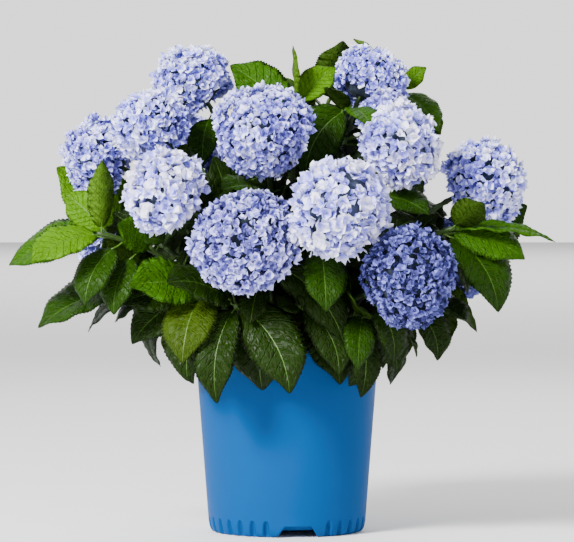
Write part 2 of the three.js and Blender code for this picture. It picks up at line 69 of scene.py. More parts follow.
def chance(a: float, b: float = 0, c: float = 0, d: float = 0) -> float:
    """Repeatable chance from 0 to 1 for whole-number keys, the same as the solids' own."""
    x = math.sin(a * 12.9898 + b * 78.233 + c * 37.719 + d * 4.581) * 43758.5453
    return x - math.floor(x)


def unit(v: Array) -> Array:
    """The vector at length 1."""
    return v / np.linalg.norm(v, axis=-1, keepdims=True)


def axes(aim: Array, beside: Array) -> Array:
    """Axes as columns: the last one is aim, and the first is square to it and to beside."""
    x = unit(np.cross(aim, beside))
    return np.column_stack((x, np.cross(aim, x), aim))


def clamp(x: float, low: float, high: float) -> float:
    """x, kept between two limits."""
    return min(max(x, low), high)


def smooth(x: Array | float, low: float, high: float) -> Array:
    """A smooth step from 0 at low to 1 at high."""
    t = np.clip((x - low) / (high - low), 0, 1)
    return t * t * (3 - 2 * t)


def linear(colour: int) -> tuple[float, float, float, float]:
    """An sRGB hex colour as linear RGBA."""
    parts = [((colour >> shift) & 255) / 255 for shift in (16, 8, 0)]
    return (*(p / 12.92 if p <= 0.04045 else ((p + 0.055) / 1.055) ** 2.4 for p in parts), 1.0)


def feed(node: bpy.types.Node, inputs: dict[Any, Any]) -> None:
    """Sets or links a node's inputs.

    Args:
        node: the node.
        inputs: for each input, by name or number, a value, an output socket, or a node for its main output.
    """
    for key, value in inputs.items():
        if isinstance(value, bpy.types.Node):
            value = value.outputs[2 if value.bl_idname == "ShaderNodeMix" else 0]
        if isinstance(value, bpy.types.NodeSocket):
            node.id_data.links.new(value, node.inputs[key])
        else:
            node.inputs[key].default_value = value


def add(
    tree: bpy.types.NodeTree, kind: str, inputs: dict[Any, Any] | None = None, **settings: Any
) -> bpy.types.Node:
    """Adds a node with its settings, its input values and its links.

    Args:
        tree: the node tree that it goes into.
        kind: Blender's name for the node, after its "ShaderNode".
        inputs: what its inputs take, as in feed.
        settings: the node's own properties.

    Returns:
        The new node.
    """
    node = tree.nodes.new("ShaderNode" + kind)
    for name, value in settings.items():
        setattr(node, name, value)
    feed(node, inputs or {})
    return node


def stand(mesh: bpy.types.Mesh, materials: Iterable[bpy.types.Material]) -> bpy.types.Object:
    """Puts a mesh in the scene as a smooth-shaded object at the origin.

    Args:
        mesh: the mesh, in metres, whose name the object takes.
        materials: its finishes, in the order of the faces' material numbers.

    Returns:
        The object.
    """
    mesh.shade_smooth()
    for material in materials:
        mesh.materials.append(material)
    piece = bpy.data.objects.new(mesh.name, mesh)
    bpy.context.scene.collection.objects.link(piece)
    return piece


def emit(bm: bmesh.types.BMesh, name: str, materials: Iterable[bpy.types.Material]) -> bpy.types.Object:
    """Puts a bmesh in the scene and frees it.

    Args:
        bm: the shape, in metres.
        name: the object's name.
        materials: its finishes.

    Returns:
        The object.
    """
    mesh = bpy.data.meshes.new(name)
    bm.to_mesh(mesh)
    bm.free()
    return stand(mesh, materials)


def publish(piece: bpy.types.Object, nodes: Iterable[str]) -> None:
    """Lets a piece ride on the plant and reports it.

    Args:
        piece: the piece.
        nodes: the CAD nodes that it stands for.
    """
    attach(piece, "root")
    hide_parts(*nodes)
    log.info("%s: %d faces", piece.name, len(piece.data.polygons))


# ---------------------------------------------------------------- repeated shapes


@dataclass
class Template:
    """A small shape whose vertices are given as places for a rule to read, and copied many times."""

    places: Array  # one row per vertex
    corners: Array  # vertex numbers of all faces, end to end
    sizes: Array  # corners per face
    roles: Array  # a number per face, which picks its finish

    @classmethod
    def of(cls, bm: bmesh.types.BMesh) -> "Template":
        """Reads a bmesh, with its faces' material numbers as their roles, and frees it.

        Args:
            bm: the shape.

        Returns:
            The template.
        """
        bm.verts.index_update()
        faces = [[v.index for v in f.verts] for f in bm.faces]
        made = cls(
            np.array([v.co[:] for v in bm.verts]),
            np.array([i for f in faces for i in f]),
            np.array([len(f) for f in faces]),
            np.array([f.material_index for f in bm.faces]),
        )
        bm.free()
        return made

    @property
    def triangles(self) -> int:
        """How many triangles one copy has."""
        return int((self.sizes - 2).sum())


def tube_template(sides: int, steps: int) -> Template:
    """A closed unit tube: x and y on a circle of radius 1, and z from 0 to 1 along it.

    Args:
        sides: how many sides it has.
        steps: how many sections.

    Returns:
        The template.
    """
    bm = bmesh.new()
    bmesh.ops.create_circle(bm, segments=sides, radius=1, cap_ends=True)
    bmesh.ops.reverse_faces(bm, faces=bm.faces)
    edges = list(bm.edges)
    for _ in range(steps):
        made = bmesh.ops.extrude_edge_only(bm, edges=edges)["geom"]
        ring = [g for g in made if isinstance(g, bmesh.types.BMVert)]
        edges = [g for g in made if isinstance(g, bmesh.types.BMEdge)]
        bmesh.ops.translate(bm, verts=ring, vec=(0, 0, 1 / steps))
    bmesh.ops.contextual_create(bm, geom=edges)
    bmesh.ops.recalc_face_normals(bm, faces=bm.faces)
    return Template.of(bm)


def lathe(profile: Sequence[tuple[float, float]], steps: int) -> bmesh.types.BMesh:
    """A closed profile of radius and height, in millimetres, spun round the vertical axis.

    Args:
        profile: the corners; a first and last corner on the axis close the ends.
        steps: how many steps make the full turn.

    Returns:
        The bmesh, in metres, with its faces outwards.
    """
    bm = bmesh.new()
    verts = [bm.verts.new((r * MM, 0, z * MM)) for r, z in profile]
    edges = [bm.edges.new(pair) for pair in zip(verts, verts[1:])]
    bmesh.ops.spin(
        bm, geom=verts + edges, cent=(0, 0, 0), axis=(0, 0, 1), angle=2 * math.pi, steps=steps, use_merge=True
    )
    bmesh.ops.remove_doubles(bm, verts=bm.verts, dist=1e-6)
    bmesh.ops.recalc_face_normals(bm, faces=bm.faces)
    return bm


class Gathering:
    """Many small shapes of one kind, joined in one piece."""

    def __init__(self, name: str, materials: Sequence[bpy.types.Material], uv_name: str = "") -> None:
        """Starts with nothing in it.

        Args:
            name: the name of the piece.
            materials: the finishes that slots refer to.
            uv_name: the UV map to write, if the shapes give one.
        """
        self.name, self.materials, self.uv_name = name, list(materials), uv_name
        self.points: list[Array] = []
        self.corners: list[Array] = []
        self.sizes: list[Array] = []
        self.slots: list[Array] = []
        self.uvs: list[Array] = []
        self.count = self.triangles = 0

    def take(self, shape: Template, points: Array, slots: Array | int, uv: Array | None = None) -> None:
        """Adds one copy of a shape.

        Args:
            shape: the shape.
            points: its vertices in millimetres, in the template's order.
            slots: the finish of each face, or of all.
            uv: two numbers for each vertex, if the piece has a UV map.
        """
        self.points.append(points * MM)
        self.corners.append(shape.corners + self.count)
        self.sizes.append(shape.sizes)
        self.slots.append(np.broadcast_to(slots, shape.sizes.shape))
        if uv is not None:
            self.uvs.append(uv[shape.corners])
        self.count += len(points)
        self.triangles += shape.triangles

    def build(self, slot: str, nodes: Iterable[str]) -> None:
        """Makes the piece.

        Args:
            slot: not used.
            nodes: the CAD nodes that it stands for.
        """
        if self.triangles > PIECE_LIMIT:
            raise ValueError(f"{self.name} has {self.triangles} triangles")
        mesh = bpy.data.meshes.new(self.name)
        corners, sizes = np.concatenate(self.corners), np.concatenate(self.sizes)
        mesh.vertices.add(self.count)
        mesh.vertices.foreach_set("co", np.concatenate(self.points).ravel())
        mesh.loops.add(len(corners))
        mesh.loops.foreach_set("vertex_index", corners)
        mesh.polygons.add(len(sizes))
        mesh.polygons.foreach_set("loop_start", np.concatenate(([0], np.cumsum(sizes)[:-1])))
        mesh.polygons.foreach_set("material_index", np.concatenate(self.slots))
        if self.uvs:
            layer = mesh.uv_layers.new(name=self.uv_name)
            layer.uv.foreach_set("vector", np.concatenate(self.uvs).ravel())
        mesh.update(calc_edges=True)
        publish(stand(mesh, self.materials), nodes)


# ---------------------------------------------------------------- finishes


class Tone(IntEnum):
    """How old and how shaded a leaf is."""

    YOUNG = 0
    LIGHT = 1
    MID = 2
    DEEP = 3
    SHADE = 4
    OLIVE = 5


class Region(Enum):
    """The sides of the plant, by which joined pieces are split."""

    LEFT = "left"
    RIGHT = "right"
    FAR = "far"


class Tint(Enum):
    """The blue of a bloom: four sRGB colours from its palest floret to its deepest, and its heart's dark
    colour, which is painted shade for the gaps between the florets.
    """

    ICE = (0xF0F0FF, 0xCACCFF, 0xA6A6FA, 0x8484D6, 0x4E586E)
    PALE = (0xE6E8FF, 0xB2B6FF, 0x8C8CE8, 0x6A6ABE, 0x404A5E)
    SKY = (0xD8DAFF, 0x9C9EF0, 0x7270C4, 0x54549A, 0x303A48)
    LAVENDER = (0xC6C8F8, 0x8080D0, 0x5E5EA6, 0x444480, 0x28303E)
    DEEP = (0x7276C2, 0x44468E, 0x30326E, 0x222450, 0x141A2A)


@dataclass(frozen=True)
class Finish:
    """A procedural material that is made from its own settings."""

    name: str

    def make(self) -> bpy.types.Material:
        """Makes the material, whose nodes shade adds.

        Returns:
            The material.
        """
        material = bpy.data.materials.new(self.name)
        material.use_nodes = True
        tree = material.node_tree
        tree.nodes.clear()
        shader = add(tree, "BsdfPrincipled")
        add(tree, "OutputMaterial", {"Surface": shader})
        self.shade(tree, shader)
        return material

    def shade(self, tree: bpy.types.NodeTree, shader: bpy.types.Node) -> None:
        """Adds the pattern's nodes to the tree and sets the shader; each kind of finish has its own."""
        raise NotImplementedError


@dataclass(frozen=True)
class LeafBlade(Finish):
    """Living leaf: tissue quilted between sunken veins under a thin waxy skin that gives soft grey lights."""

    colour: int
    deeper: int
    vein: int
    roughness: float
    sheen: float = 0.08

    GROOVE = 1.3  # mm, how deep the side veins lie
    PUFF = 0.6  # of that depth, how far the tissue swells between the finest veins
    VEIN_WIDTH = 0.1  # of the space between two side veins
    NET = (1.7, 5.5, 1.0)  # cells between the finest veins, to a vein's space and to half the blade
    NET_SOFTNESS = 0.3  # of a cell, how wide the slope beside a fine vein is
    VEIN_PAINT = 0.6  # how much of the veins' colour a side vein shows
    NET_PAINT = 0.2  # and a fine one
    MOTTLING = 38.0  # patches to the metre

    def shade(self, tree: bpy.types.NodeTree, shader: bpy.types.Node) -> None:
        """Lays the veins out by the blade's own UV map and mottles the tissue between them.

        Args:
            tree: the material's node tree.
            shader: its Principled shader.
        """
        split = add(tree, "SeparateXYZ", {0: add(tree, "UVMap", uv_map=BLADE_MAP)})
        across = add(tree, "Math", {0: split, 1: 2.0, 2: -1.0}, operation="MULTIPLY_ADD")
        side = add(tree, "Math", {0: across}, operation="ABSOLUTE")
        along = add(tree, "Math", {0: split.outputs[1], 1: VEINS}, operation="MULTIPLY")
        phase = add(tree, "Math", {0: side, 1: -SWEEP, 2: along}, operation="MULTIPLY_ADD")
        off = add(tree, "Math", {0: phase, 1: 0.5}, operation="PINGPONG")
        vein = add(
            tree, "MapRange", {"Value": off, "From Max": self.VEIN_WIDTH, "To Min": 1.0, "To Max": 0.0},
            interpolation_type="SMOOTHSTEP",
        )
        mesh = add(tree, "CombineXYZ", {0: phase, 1: across})
        cell = add(tree, "VectorMath", {0: mesh, 1: self.NET}, operation="MULTIPLY")
        net = add(
            tree, "TexVoronoi", {"Vector": cell, "Scale": 1.0, "Randomness": 0.75}, feature="DISTANCE_TO_EDGE"
        )
        pad = add(
            tree, "MapRange", {"Value": net, "From Max": self.NET_SOFTNESS}, interpolation_type="SMOOTHSTEP"
        )
        spot = add(tree, "TexCoord").outputs["Object"]
        cloud = add(tree, "TexNoise", {"Vector": spot, "Scale": self.MOTTLING, "Detail": 3.0})
        body = add(tree, "Mix", {0: cloud, 6: linear(self.deeper), 7: linear(self.colour)}, data_type="RGBA")
        crease = add(tree, "Math", {0: pad, 1: -self.NET_PAINT, 2: self.NET_PAINT}, operation="MULTIPLY_ADD")
        share = add(
            tree, "Math", {0: vein, 1: self.VEIN_PAINT, 2: crease}, operation="MULTIPLY_ADD", use_clamp=True
        )
        paint = add(tree, "Mix", {0: share, 6: body, 7: linear(self.vein)}, data_type="RGBA")
        puff = add(tree, "Math", {0: pad, 1: self.PUFF}, operation="MULTIPLY")
        height = add(tree, "Math", {0: puff, 1: vein}, operation="SUBTRACT")
        bump = add(tree, "Bump", {"Height": height, "Strength": 1.0, "Distance": self.GROOVE * MM})
        gloss = {"To Min": self.roughness - 0.05, "To Max": self.roughness + 0.07}
        rough = add(tree, "MapRange", {"Value": cloud, "From Min": 0.3, "From Max": 0.7} | gloss)
        feed(shader, {"Base Color": paint, "Roughness": rough, "Normal": bump})
        feed(shader, {"IOR": 1.45, "Specular IOR Level": self.sheen})


@dataclass(frozen=True)
class Tissue(Finish):
    """Soft plant tissue such as a sepal, bark or a green stem: matt, faintly mottled and finely wrinkled."""

    colour: int
    deeper: int
    roughness: float = 0.6
    grain: float = 2.5  # mm
    relief: float = 0.15  # mm
    stretch: tuple[float, float, float] = (1.0, 1.0, 1.0)

    PATCH = 4  # grains to a patch of colour

    def shade(self, tree: bpy.types.NodeTree, shader: bpy.types.Node) -> None:
        """Mottles the colour in patches and wrinkles the surface by its grain.

        Args:
            tree: the material's node tree.
            shader: its Principled shader.
        """
        spot = add(tree, "TexCoord").outputs["Object"]
        place = add(tree, "Mapping", {"Vector": spot, "Scale": self.stretch})
        cloud, fine = (
            add(tree, "TexNoise", {"Vector": place, "Scale": 1 / (size * MM), "Detail": 2.0})
            for size in (self.grain * self.PATCH, self.grain)
        )
        share = add(tree, "MapRange", {"Value": cloud, "From Min": 0.35, "From Max": 0.65})
        paint = add(tree, "Mix", {0: share, 6: linear(self.deeper), 7: linear(self.colour)}, data_type="RGBA")
        bump = add(tree, "Bump", {"Height": fine, "Strength": 0.8, "Distance": self.relief * MM})
        feed(shader, {"Base Color": paint, "Normal": bump, "Roughness": self.roughness, "IOR": 1.42})


@dataclass(frozen=True)
class MouldedPlastic(Finish):
    """Injection-moulded polypropylene: an even satin with a faint orange peel that blurs its lights."""

    colour: int
    deeper: int

    PEEL = 0.06  # mm

    def shade(self, tree: bpy.types.NodeTree, shader: bpy.types.Node) -> None:
        """Lets colour and gloss drift as the plastic flowed, and gives the surface its peel.

        Args:
            tree: the material's node tree.
            shader: its Principled shader.
        """
        spot = add(tree, "TexCoord").outputs["Object"]
        flow = add(tree, "TexNoise", {"Vector": spot, "Scale": 18.0, "Detail": 3.0})
        peel = add(tree, "TexNoise", {"Vector": spot, "Scale": 900.0, "Detail": 2.0})
        paint = add(tree, "Mix", {0: flow, 6: linear(self.deeper), 7: linear(self.colour)}, data_type="RGBA")
        gloss = {"To Min": 0.4, "To Max": 0.5}
        rough = add(tree, "MapRange", {"Value": flow, "From Min": 0.3, "From Max": 0.7} | gloss)
        bump = add(tree, "Bump", {"Height": peel, "Strength": 0.35, "Distance": self.PEEL * MM})
        feed(shader, {"Base Color": paint, "Roughness": rough, "Normal": bump})
        feed(shader, {"IOR": 1.49, "Specular IOR Level": 0.04})


@dataclass(frozen=True)
class FloorPaint(Finish):
    """Painted studio floor, matt and almost white, which takes a soft shadow."""

    def shade(self, tree: bpy.types.NodeTree, shader: bpy.types.Node) -> None:
        """Gives the paint a faint cloudiness.

        Args:
            tree: the material's node tree.
            shader: its Principled shader.
        """
        spot = add(tree, "TexCoord").outputs["Object"]
        cloud = add(tree, "TexNoise", {"Vector": spot, "Scale": 2.0})
        paint = add(tree, "Mix", {0: cloud, 6: linear(0xF2F2F2), 7: linear(0xF6F6F6)}, data_type="RGBA")
        feed(shader, {"Base Color": paint, "Roughness": 0.9})


# ---------------------------------------------------------------- the plan of the plant


@dataclass(frozen=True)
class Places:
    """The sizes, in millimetres and degrees, that the solids were grown by."""

    crown_base: float = 195.35
    rings: tuple[tuple[float, float, int], ...] = ((12, 20, 5), (27, 17, 11), (41, 7, 20))
    sway_reach: float = 0.36
    sway_rise: float = 0.74
    sway_step: float = 6
    sway_tries: int = 31
    clear: float = 0.35
    stem_root: float = 3.3
    stem_tip: float = 2.6
    stem_steps: int = 5
    leafy_drops: tuple[float, ...] = (5, 17, 35, 59, 86, 116)  # below a leafy shoot's tip, of its pairs
    bloom_drops: tuple[float, float, float] = (0.7, 12, 40)  # of the bloom's height, mm more, mm a pair
    half_width: float = 0.33
    fold: float = 16
    young: float = 0.7
    turn_step: float = 15
    shrink: float = 0.045
    leaf_tries: int = 12
    faces_front: float = 0.8
    light: tuple[float, float, float] = (0, 0, 235)


@dataclass(frozen=True)
class Habit:
    """How the pairs of a kind of shoot grow, from its tip down; the last two are on the bare limb below."""

    petioles: tuple[float, ...]  # mm
    lifts: tuple[float, ...]  # degrees off square to the stem
    sags: tuple[float, ...]  # degrees from a blade's foot to its tip
    shares: tuple[float, ...]  # of the shoot's own leaf length


SIZES = Places()
BLOOMING = Habit(
    petioles=(16, 20, 24, 20, 16),
    lifts=(24, 18, 12, 6, 2),
    sags=(52, 66, 80, 62, 54),
    shares=(0.84, 1, 1.06, 0.86, 0.78),
)
LEAFY = Habit(
    petioles=(8, 12, 18, 24, 20, 16),
    lifts=(58, 36, 18, 6, 4, 2),
    sags=(24, 48, 66, 78, 62, 54),
    shares=(0.6, 0.88, 1, 1.05, 0.86, 0.78),
)


def shift(attempt: int) -> int:
    """Which way and how far the nth try goes: 0, 1, -1, 2, -2 and so on."""
    return math.ceil(attempt / 2) * (1 if attempt % 2 else -1)


def outline(s: Array | float) -> Array | float:
    """Half width of an ovate blade as a share of its greatest half width."""
    return 2.244 * s**0.55 * (1 - s) ** 0.62 * (1 - 0.55 * smooth(s, 0.66, 1.03))


class Curve:
    """A quadratic curve that is read by shares of its length."""

    def __init__(self, root: Array, bend: Array, tip: Array) -> None:
        """Lays the curve out and measures it.

        Args:
            root: its first point.
            bend: its control point.
            tip: its last point.
        """
        self.root, self.bend, self.tip = root, bend, tip
        self.steps = np.linspace(0, 1, 201)
        laid = self.at(self.steps)
        self.sums = np.concatenate(([0.0], np.cumsum(np.linalg.norm(np.diff(laid, axis=0), axis=1))))
        self.length = float(self.sums[-1])

    def at(self, t: Array) -> Array:
        """Points at the curve's own parameter."""
        t = np.asarray(t)[..., None]
        return (1 - t) ** 2 * self.root + 2 * t * (1 - t) * self.bend + t**2 * self.tip

    def parameter(self, u: Array | float) -> Array:
        """The curve's own parameter at shares of its length."""
        return np.interp(np.asarray(u) * self.length, self.sums, self.steps)

    def point(self, u: Array | float) -> Array:
        """Points at shares of the length."""
        return self.at(self.parameter(u))

    def tangent(self, u: Array | float) -> Array:
        """Directions at shares of the length."""
        t = self.parameter(u)[..., None]
        return unit((1 - t) * (self.bend - self.root) + t * (self.tip - self.bend))


def headed(heading: Array, slope: Array | float) -> Array:
    """The direction at a slope from a level heading."""
    slope = np.asarray(slope)[..., None]
    return heading * np.cos(slope) + UP * np.sin(slope)


@dataclass
class Pose:
    """How one leaf stands: its foot on the stem, the way it leaves, and how its blade arches over."""

    foot: Array
    heading: Array
    pitch: float
    sag: float
    length: float
    petiole: float
    width: float = 1.0
    front: float = 0.0

    def __post_init__(self) -> None:
        """Works out the petiole's end and how far the blade rolls to face the light."""
        self.leaving = headed(self.heading, self.pitch)
        self.start = self.foot + self.leaving * self.petiole
        self.flat = np.cross(self.heading, UP)
        facing = unit(self.start - np.array(SIZES.light)) + 0.3 * UP
        facing[1] -= self.front
        normal = np.cross(self.flat, headed(self.heading, self.pitch - self.sag / 2))
        self.roll = math.atan2(facing @ self.flat, max(facing @ normal, 0.15))

    def midline(self, s: Array | float) -> Array:
        """Points on the blade's midline.

        Args:
            s: shares of the blade's length.

        Returns:
            The points.
        """
        sag = np.maximum(self.sag * np.asarray(s), 1e-6)
        chord = self.length * s * np.sin(sag / 2) / (sag / 2)
        return self.start + headed(self.heading, self.pitch - sag / 2) * np.asarray(chord)[..., None]

    def sides(self, s: Array | float, twist: Array | float = 0.0) -> tuple[Array, Array]:
        """The directions across the blade and off its face.

        Args:
            s: shares of the blade's length.
            twist: radians more that it rolls there.

        Returns:
            The two directions.
        """
        normal = np.cross(self.flat, headed(self.heading, self.pitch - self.sag * np.asarray(s)))
        roll = np.asarray(self.roll + twist)[..., None]
        across = self.flat * np.cos(roll) - normal * np.sin(roll)
        return across, normal * np.cos(roll) + self.flat * np.sin(roll)

    def samples(self) -> Array:
        """Points over the blade: its midline and both edges at eight stations.

        Returns:
            The points.
        """
        s = np.linspace(0.12, 1.0, 8)
        across = self.sides(s)[0] * (SIZES.half_width * self.width * self.length * outline(s))[:, None]
        middle = self.midline(s)
        return np.concatenate((middle, middle + across, middle - across))


@dataclass
class Shoot:
    """One shoot: where its tip is, how large its bloom is, and how its leaves hang or where they reach."""

    key: str
    tip: tuple[float, float, float]
    turn: float
    leaf: float
    across: float = 0.0
    high: float = 0.0
    reach: tuple[Any, ...] = ()
    tint: Tint = Tint.SKY
    tone: Tone = Tone.MID
    tones: dict[int, Tone] = field(default_factory=dict)
    inner: tuple[Any, ...] = ()  # where the leaves on the bare limb reach
    floret: float = 0.9  # its florets' size against the usual one
    stretch: float = 1.0  # upright, of the globe that the florets stand on
    index: int = 0
    root: Array | None = None
    axis: Array | None = None

    @property
    def pairs(self) -> int:
        """How many pairs of leaves it has."""
        return 3 if self.across else 4

    @property
    def habit(self) -> Habit:
        """How its pairs grow."""
        return BLOOMING if self.across else LEAFY

    @property
    def node(self) -> str:
        """The name of its CAD node."""
        return "shoot_" + self.key

    @property
    def region(self) -> Region:
        """The side of the plant that it belongs to.

        Returns:
            The side.
        """
        if self.tip[1] > 100:
            return Region.FAR
        return Region.LEFT if self.tip[0] < 0 else Region.RIGHT

    def pair_distance(self, pair: int) -> float:
        """How far below the tip a pair of leaves stands."""
        share, more, step = SIZES.bloom_drops
        return self.high * share + more + pair * step if self.across else SIZES.leafy_drops[pair]

    def give_line(self, attempt: int) -> None:
        """Lays the shoot's line, bent sideways by a try's share.

        Args:
            attempt: the number of the try.
        """
        tip = np.array(self.tip, float)
        sideways = unit(np.array([-tip[1], tip[0], 0.0]))
        level = self.root + (tip - self.root) * SIZES.sway_reach
        rise = self.root[2] + (tip[2] - self.root[2]) * SIZES.sway_rise + 14
        bend = np.array([level[0], level[1], rise]) + sideways * SIZES.sway_step * shift(attempt)
        self.line = Curve(self.root, bend, tip)
        if self.axis is None:
            self.axis = self.line.tangent(1.0)
        self.split = 1 - (self.pair_distance(self.pairs - 1) + 22) / self.line.length if self.across else 0.0
        self.beside = unit(np.cross(bend - self.root, tip - self.root))

    @property
    def bloom_frame(self) -> Array:
        """The bloom's own axes as columns, with the last one along the stem."""
        return axes(self.axis, np.array([-0.3, -1.0, -0.1]))

    def on_globe(self, points: Array) -> Array:
        """Points given in the bloom's own axes, from its middle, stretched upright with its globe."""
        return points @ self.bloom_frame.T * np.array([1, 1, self.stretch]) + np.array(self.tip)

    def ring(self, share: float) -> Array:
        """The three corners of the solid stem's section.

        Args:
            share: where, from 0 at the stem's foot to 1 at its tip.

        Returns:
            The corners.
        """
        start = self.split + SIZES.clear / self.line.length if self.across else 0.0
        u = start + (1 - start) * share
        radius = SIZES.stem_root + (SIZES.stem_tip - SIZES.stem_root) * share
        out = np.cross(self.beside, self.line.tangent(u))
        turns = np.arange(3) * 2 * math.pi / 3
        offset = np.sin(turns)[:, None] * self.beside + np.cos(turns)[:, None] * out
        return self.line.point(u) + radius * offset

    def heart(self, u: float) -> Array:
        """The middle of the solid stem, which runs straight between its sections.

        Args:
            u: a share of the shoot's line.

        Returns:
            The point.
        """
        section = (1 - self.split) / SIZES.stem_steps
        below = min(int((u - self.split) // section), SIZES.stem_steps - 1)
        start = self.split + below * section
        first, last = self.line.point(start), self.line.point(min(start + section, 1.0))
        return first + (last - first) * (u - start) / section

    def pose(self, pair: int, side: int, attempt: int) -> Pose:
        """The pose of one of its leaves.

        Args:
            pair: the pair, from the tip down.
            side: which leaf of it, 0 or 1.
            attempt: the number of the try.

        Returns:
            The pose.
        """
        u = 1 - self.pair_distance(pair) / self.line.length
        foot = self.heart(u)
        bare = pair >= self.pairs
        listed = self.inner if bare else self.reach
        place = 2 * (pair - self.pairs if bare else pair) + side
        reach = listed[place] if place < len(listed) else None
        if reach:
            return self.reaching(foot, reach, attempt, self.habit.petioles[pair])
        return self.hanging(pair, side, attempt, u, foot)

    def hanging(self, pair: int, side: int, attempt: int, u: float, foot: Array) -> Pose:
        """A leaf that stands at the shoot's turn, lifts off the stem and hangs over.

        Args:
            pair: the pair, from the tip down.
            side: which leaf of it, 0 or 1.
            attempt: the number of the try.
            u: where it stands, as a share of the shoot's line.
            foot: the same as a point.

        Returns:
            The pose.
        """
        along = self.line.tangent(u)
        spread = 24 * (chance(self.index, pair, side) - 0.5) + SIZES.turn_step * shift(attempt)
        turn = math.radians(self.turn + 90 * pair + 180 * side + spread)
        other = np.cross(self.beside, along)
        outward = unit(np.array([foot[0], foot[1], 0.0]))
        away = self.beside * math.cos(turn) + other * math.sin(turn) + outward * 0.5
        away = unit(away - along * (away @ along))
        lift = math.radians(self.habit.lifts[pair])
        leaving = away * math.cos(lift) + along * math.sin(lift)
        heading = np.array([leaving[0], leaving[1], 0.0])
        if np.linalg.norm(heading) < 0.2:
            heading = heading + outward * 0.3
        sag = self.habit.sags[pair] * (0.8 + 0.4 * chance(self.index, pair, side, 1)) + 4 * shift(attempt)
        length = self.leaf * self.habit.shares[pair] * (0.9 + 0.2 * chance(self.index, pair, side, 2))
        return Pose(
            foot=foot,
            heading=unit(heading),
            pitch=math.asin(clamp(leaving[2], -0.8, 0.95)),
            sag=math.radians(sag),
            length=length * (1 - SIZES.shrink * attempt),
            petiole=self.habit.petioles[pair],
        )

    @staticmethod
    def reaching(foot: Array, reach: Sequence[float], attempt: int, petiole: float) -> Pose:
        """A leaf whose blade ends at a given point.

        Args:
            foot: where it stands on the stem.
            reach: the point, and then, where they aren't the usual ones, how far it faces the front and
                how wide it is.
            attempt: the number of the try.
            petiole: how long its petiole is.

        Returns:
            The pose.
        """
        end = np.array(reach[:3], float)
        end = end + unit(np.array([foot[1] - end[1], end[0] - foot[0], 0.0])) * 7 * shift(attempt)
        whole = end - foot
        slope = math.atan2(whole[2], math.hypot(whole[0], whole[1]))
        heading = unit(np.array([whole[0], whole[1], 0.0]))
        sag = clamp(math.radians(30) - slope * 0.6, math.radians(15), math.radians(80))
        pitch, length = slope + sag / 2, 0.0
        for _ in range(6):
            chord = end - foot - headed(heading, pitch) * petiole
            pitch = math.atan2(chord[2], math.hypot(chord[0], chord[1])) + sag / 2
            length = float(np.linalg.norm(chord)) * sag / 2 / math.sin(sag / 2)
        front = reach[3] if len(reach) > 3 else SIZES.faces_front
        width = reach[4] if len(reach) > 4 else SIZES.young if slope > math.radians(58) else 1.0
        return Pose(foot, heading, pitch, sag, length, petiole, width, front)


YOUNG, LIGHT, MID, DEEP, SHADE, OLIVE = Tone

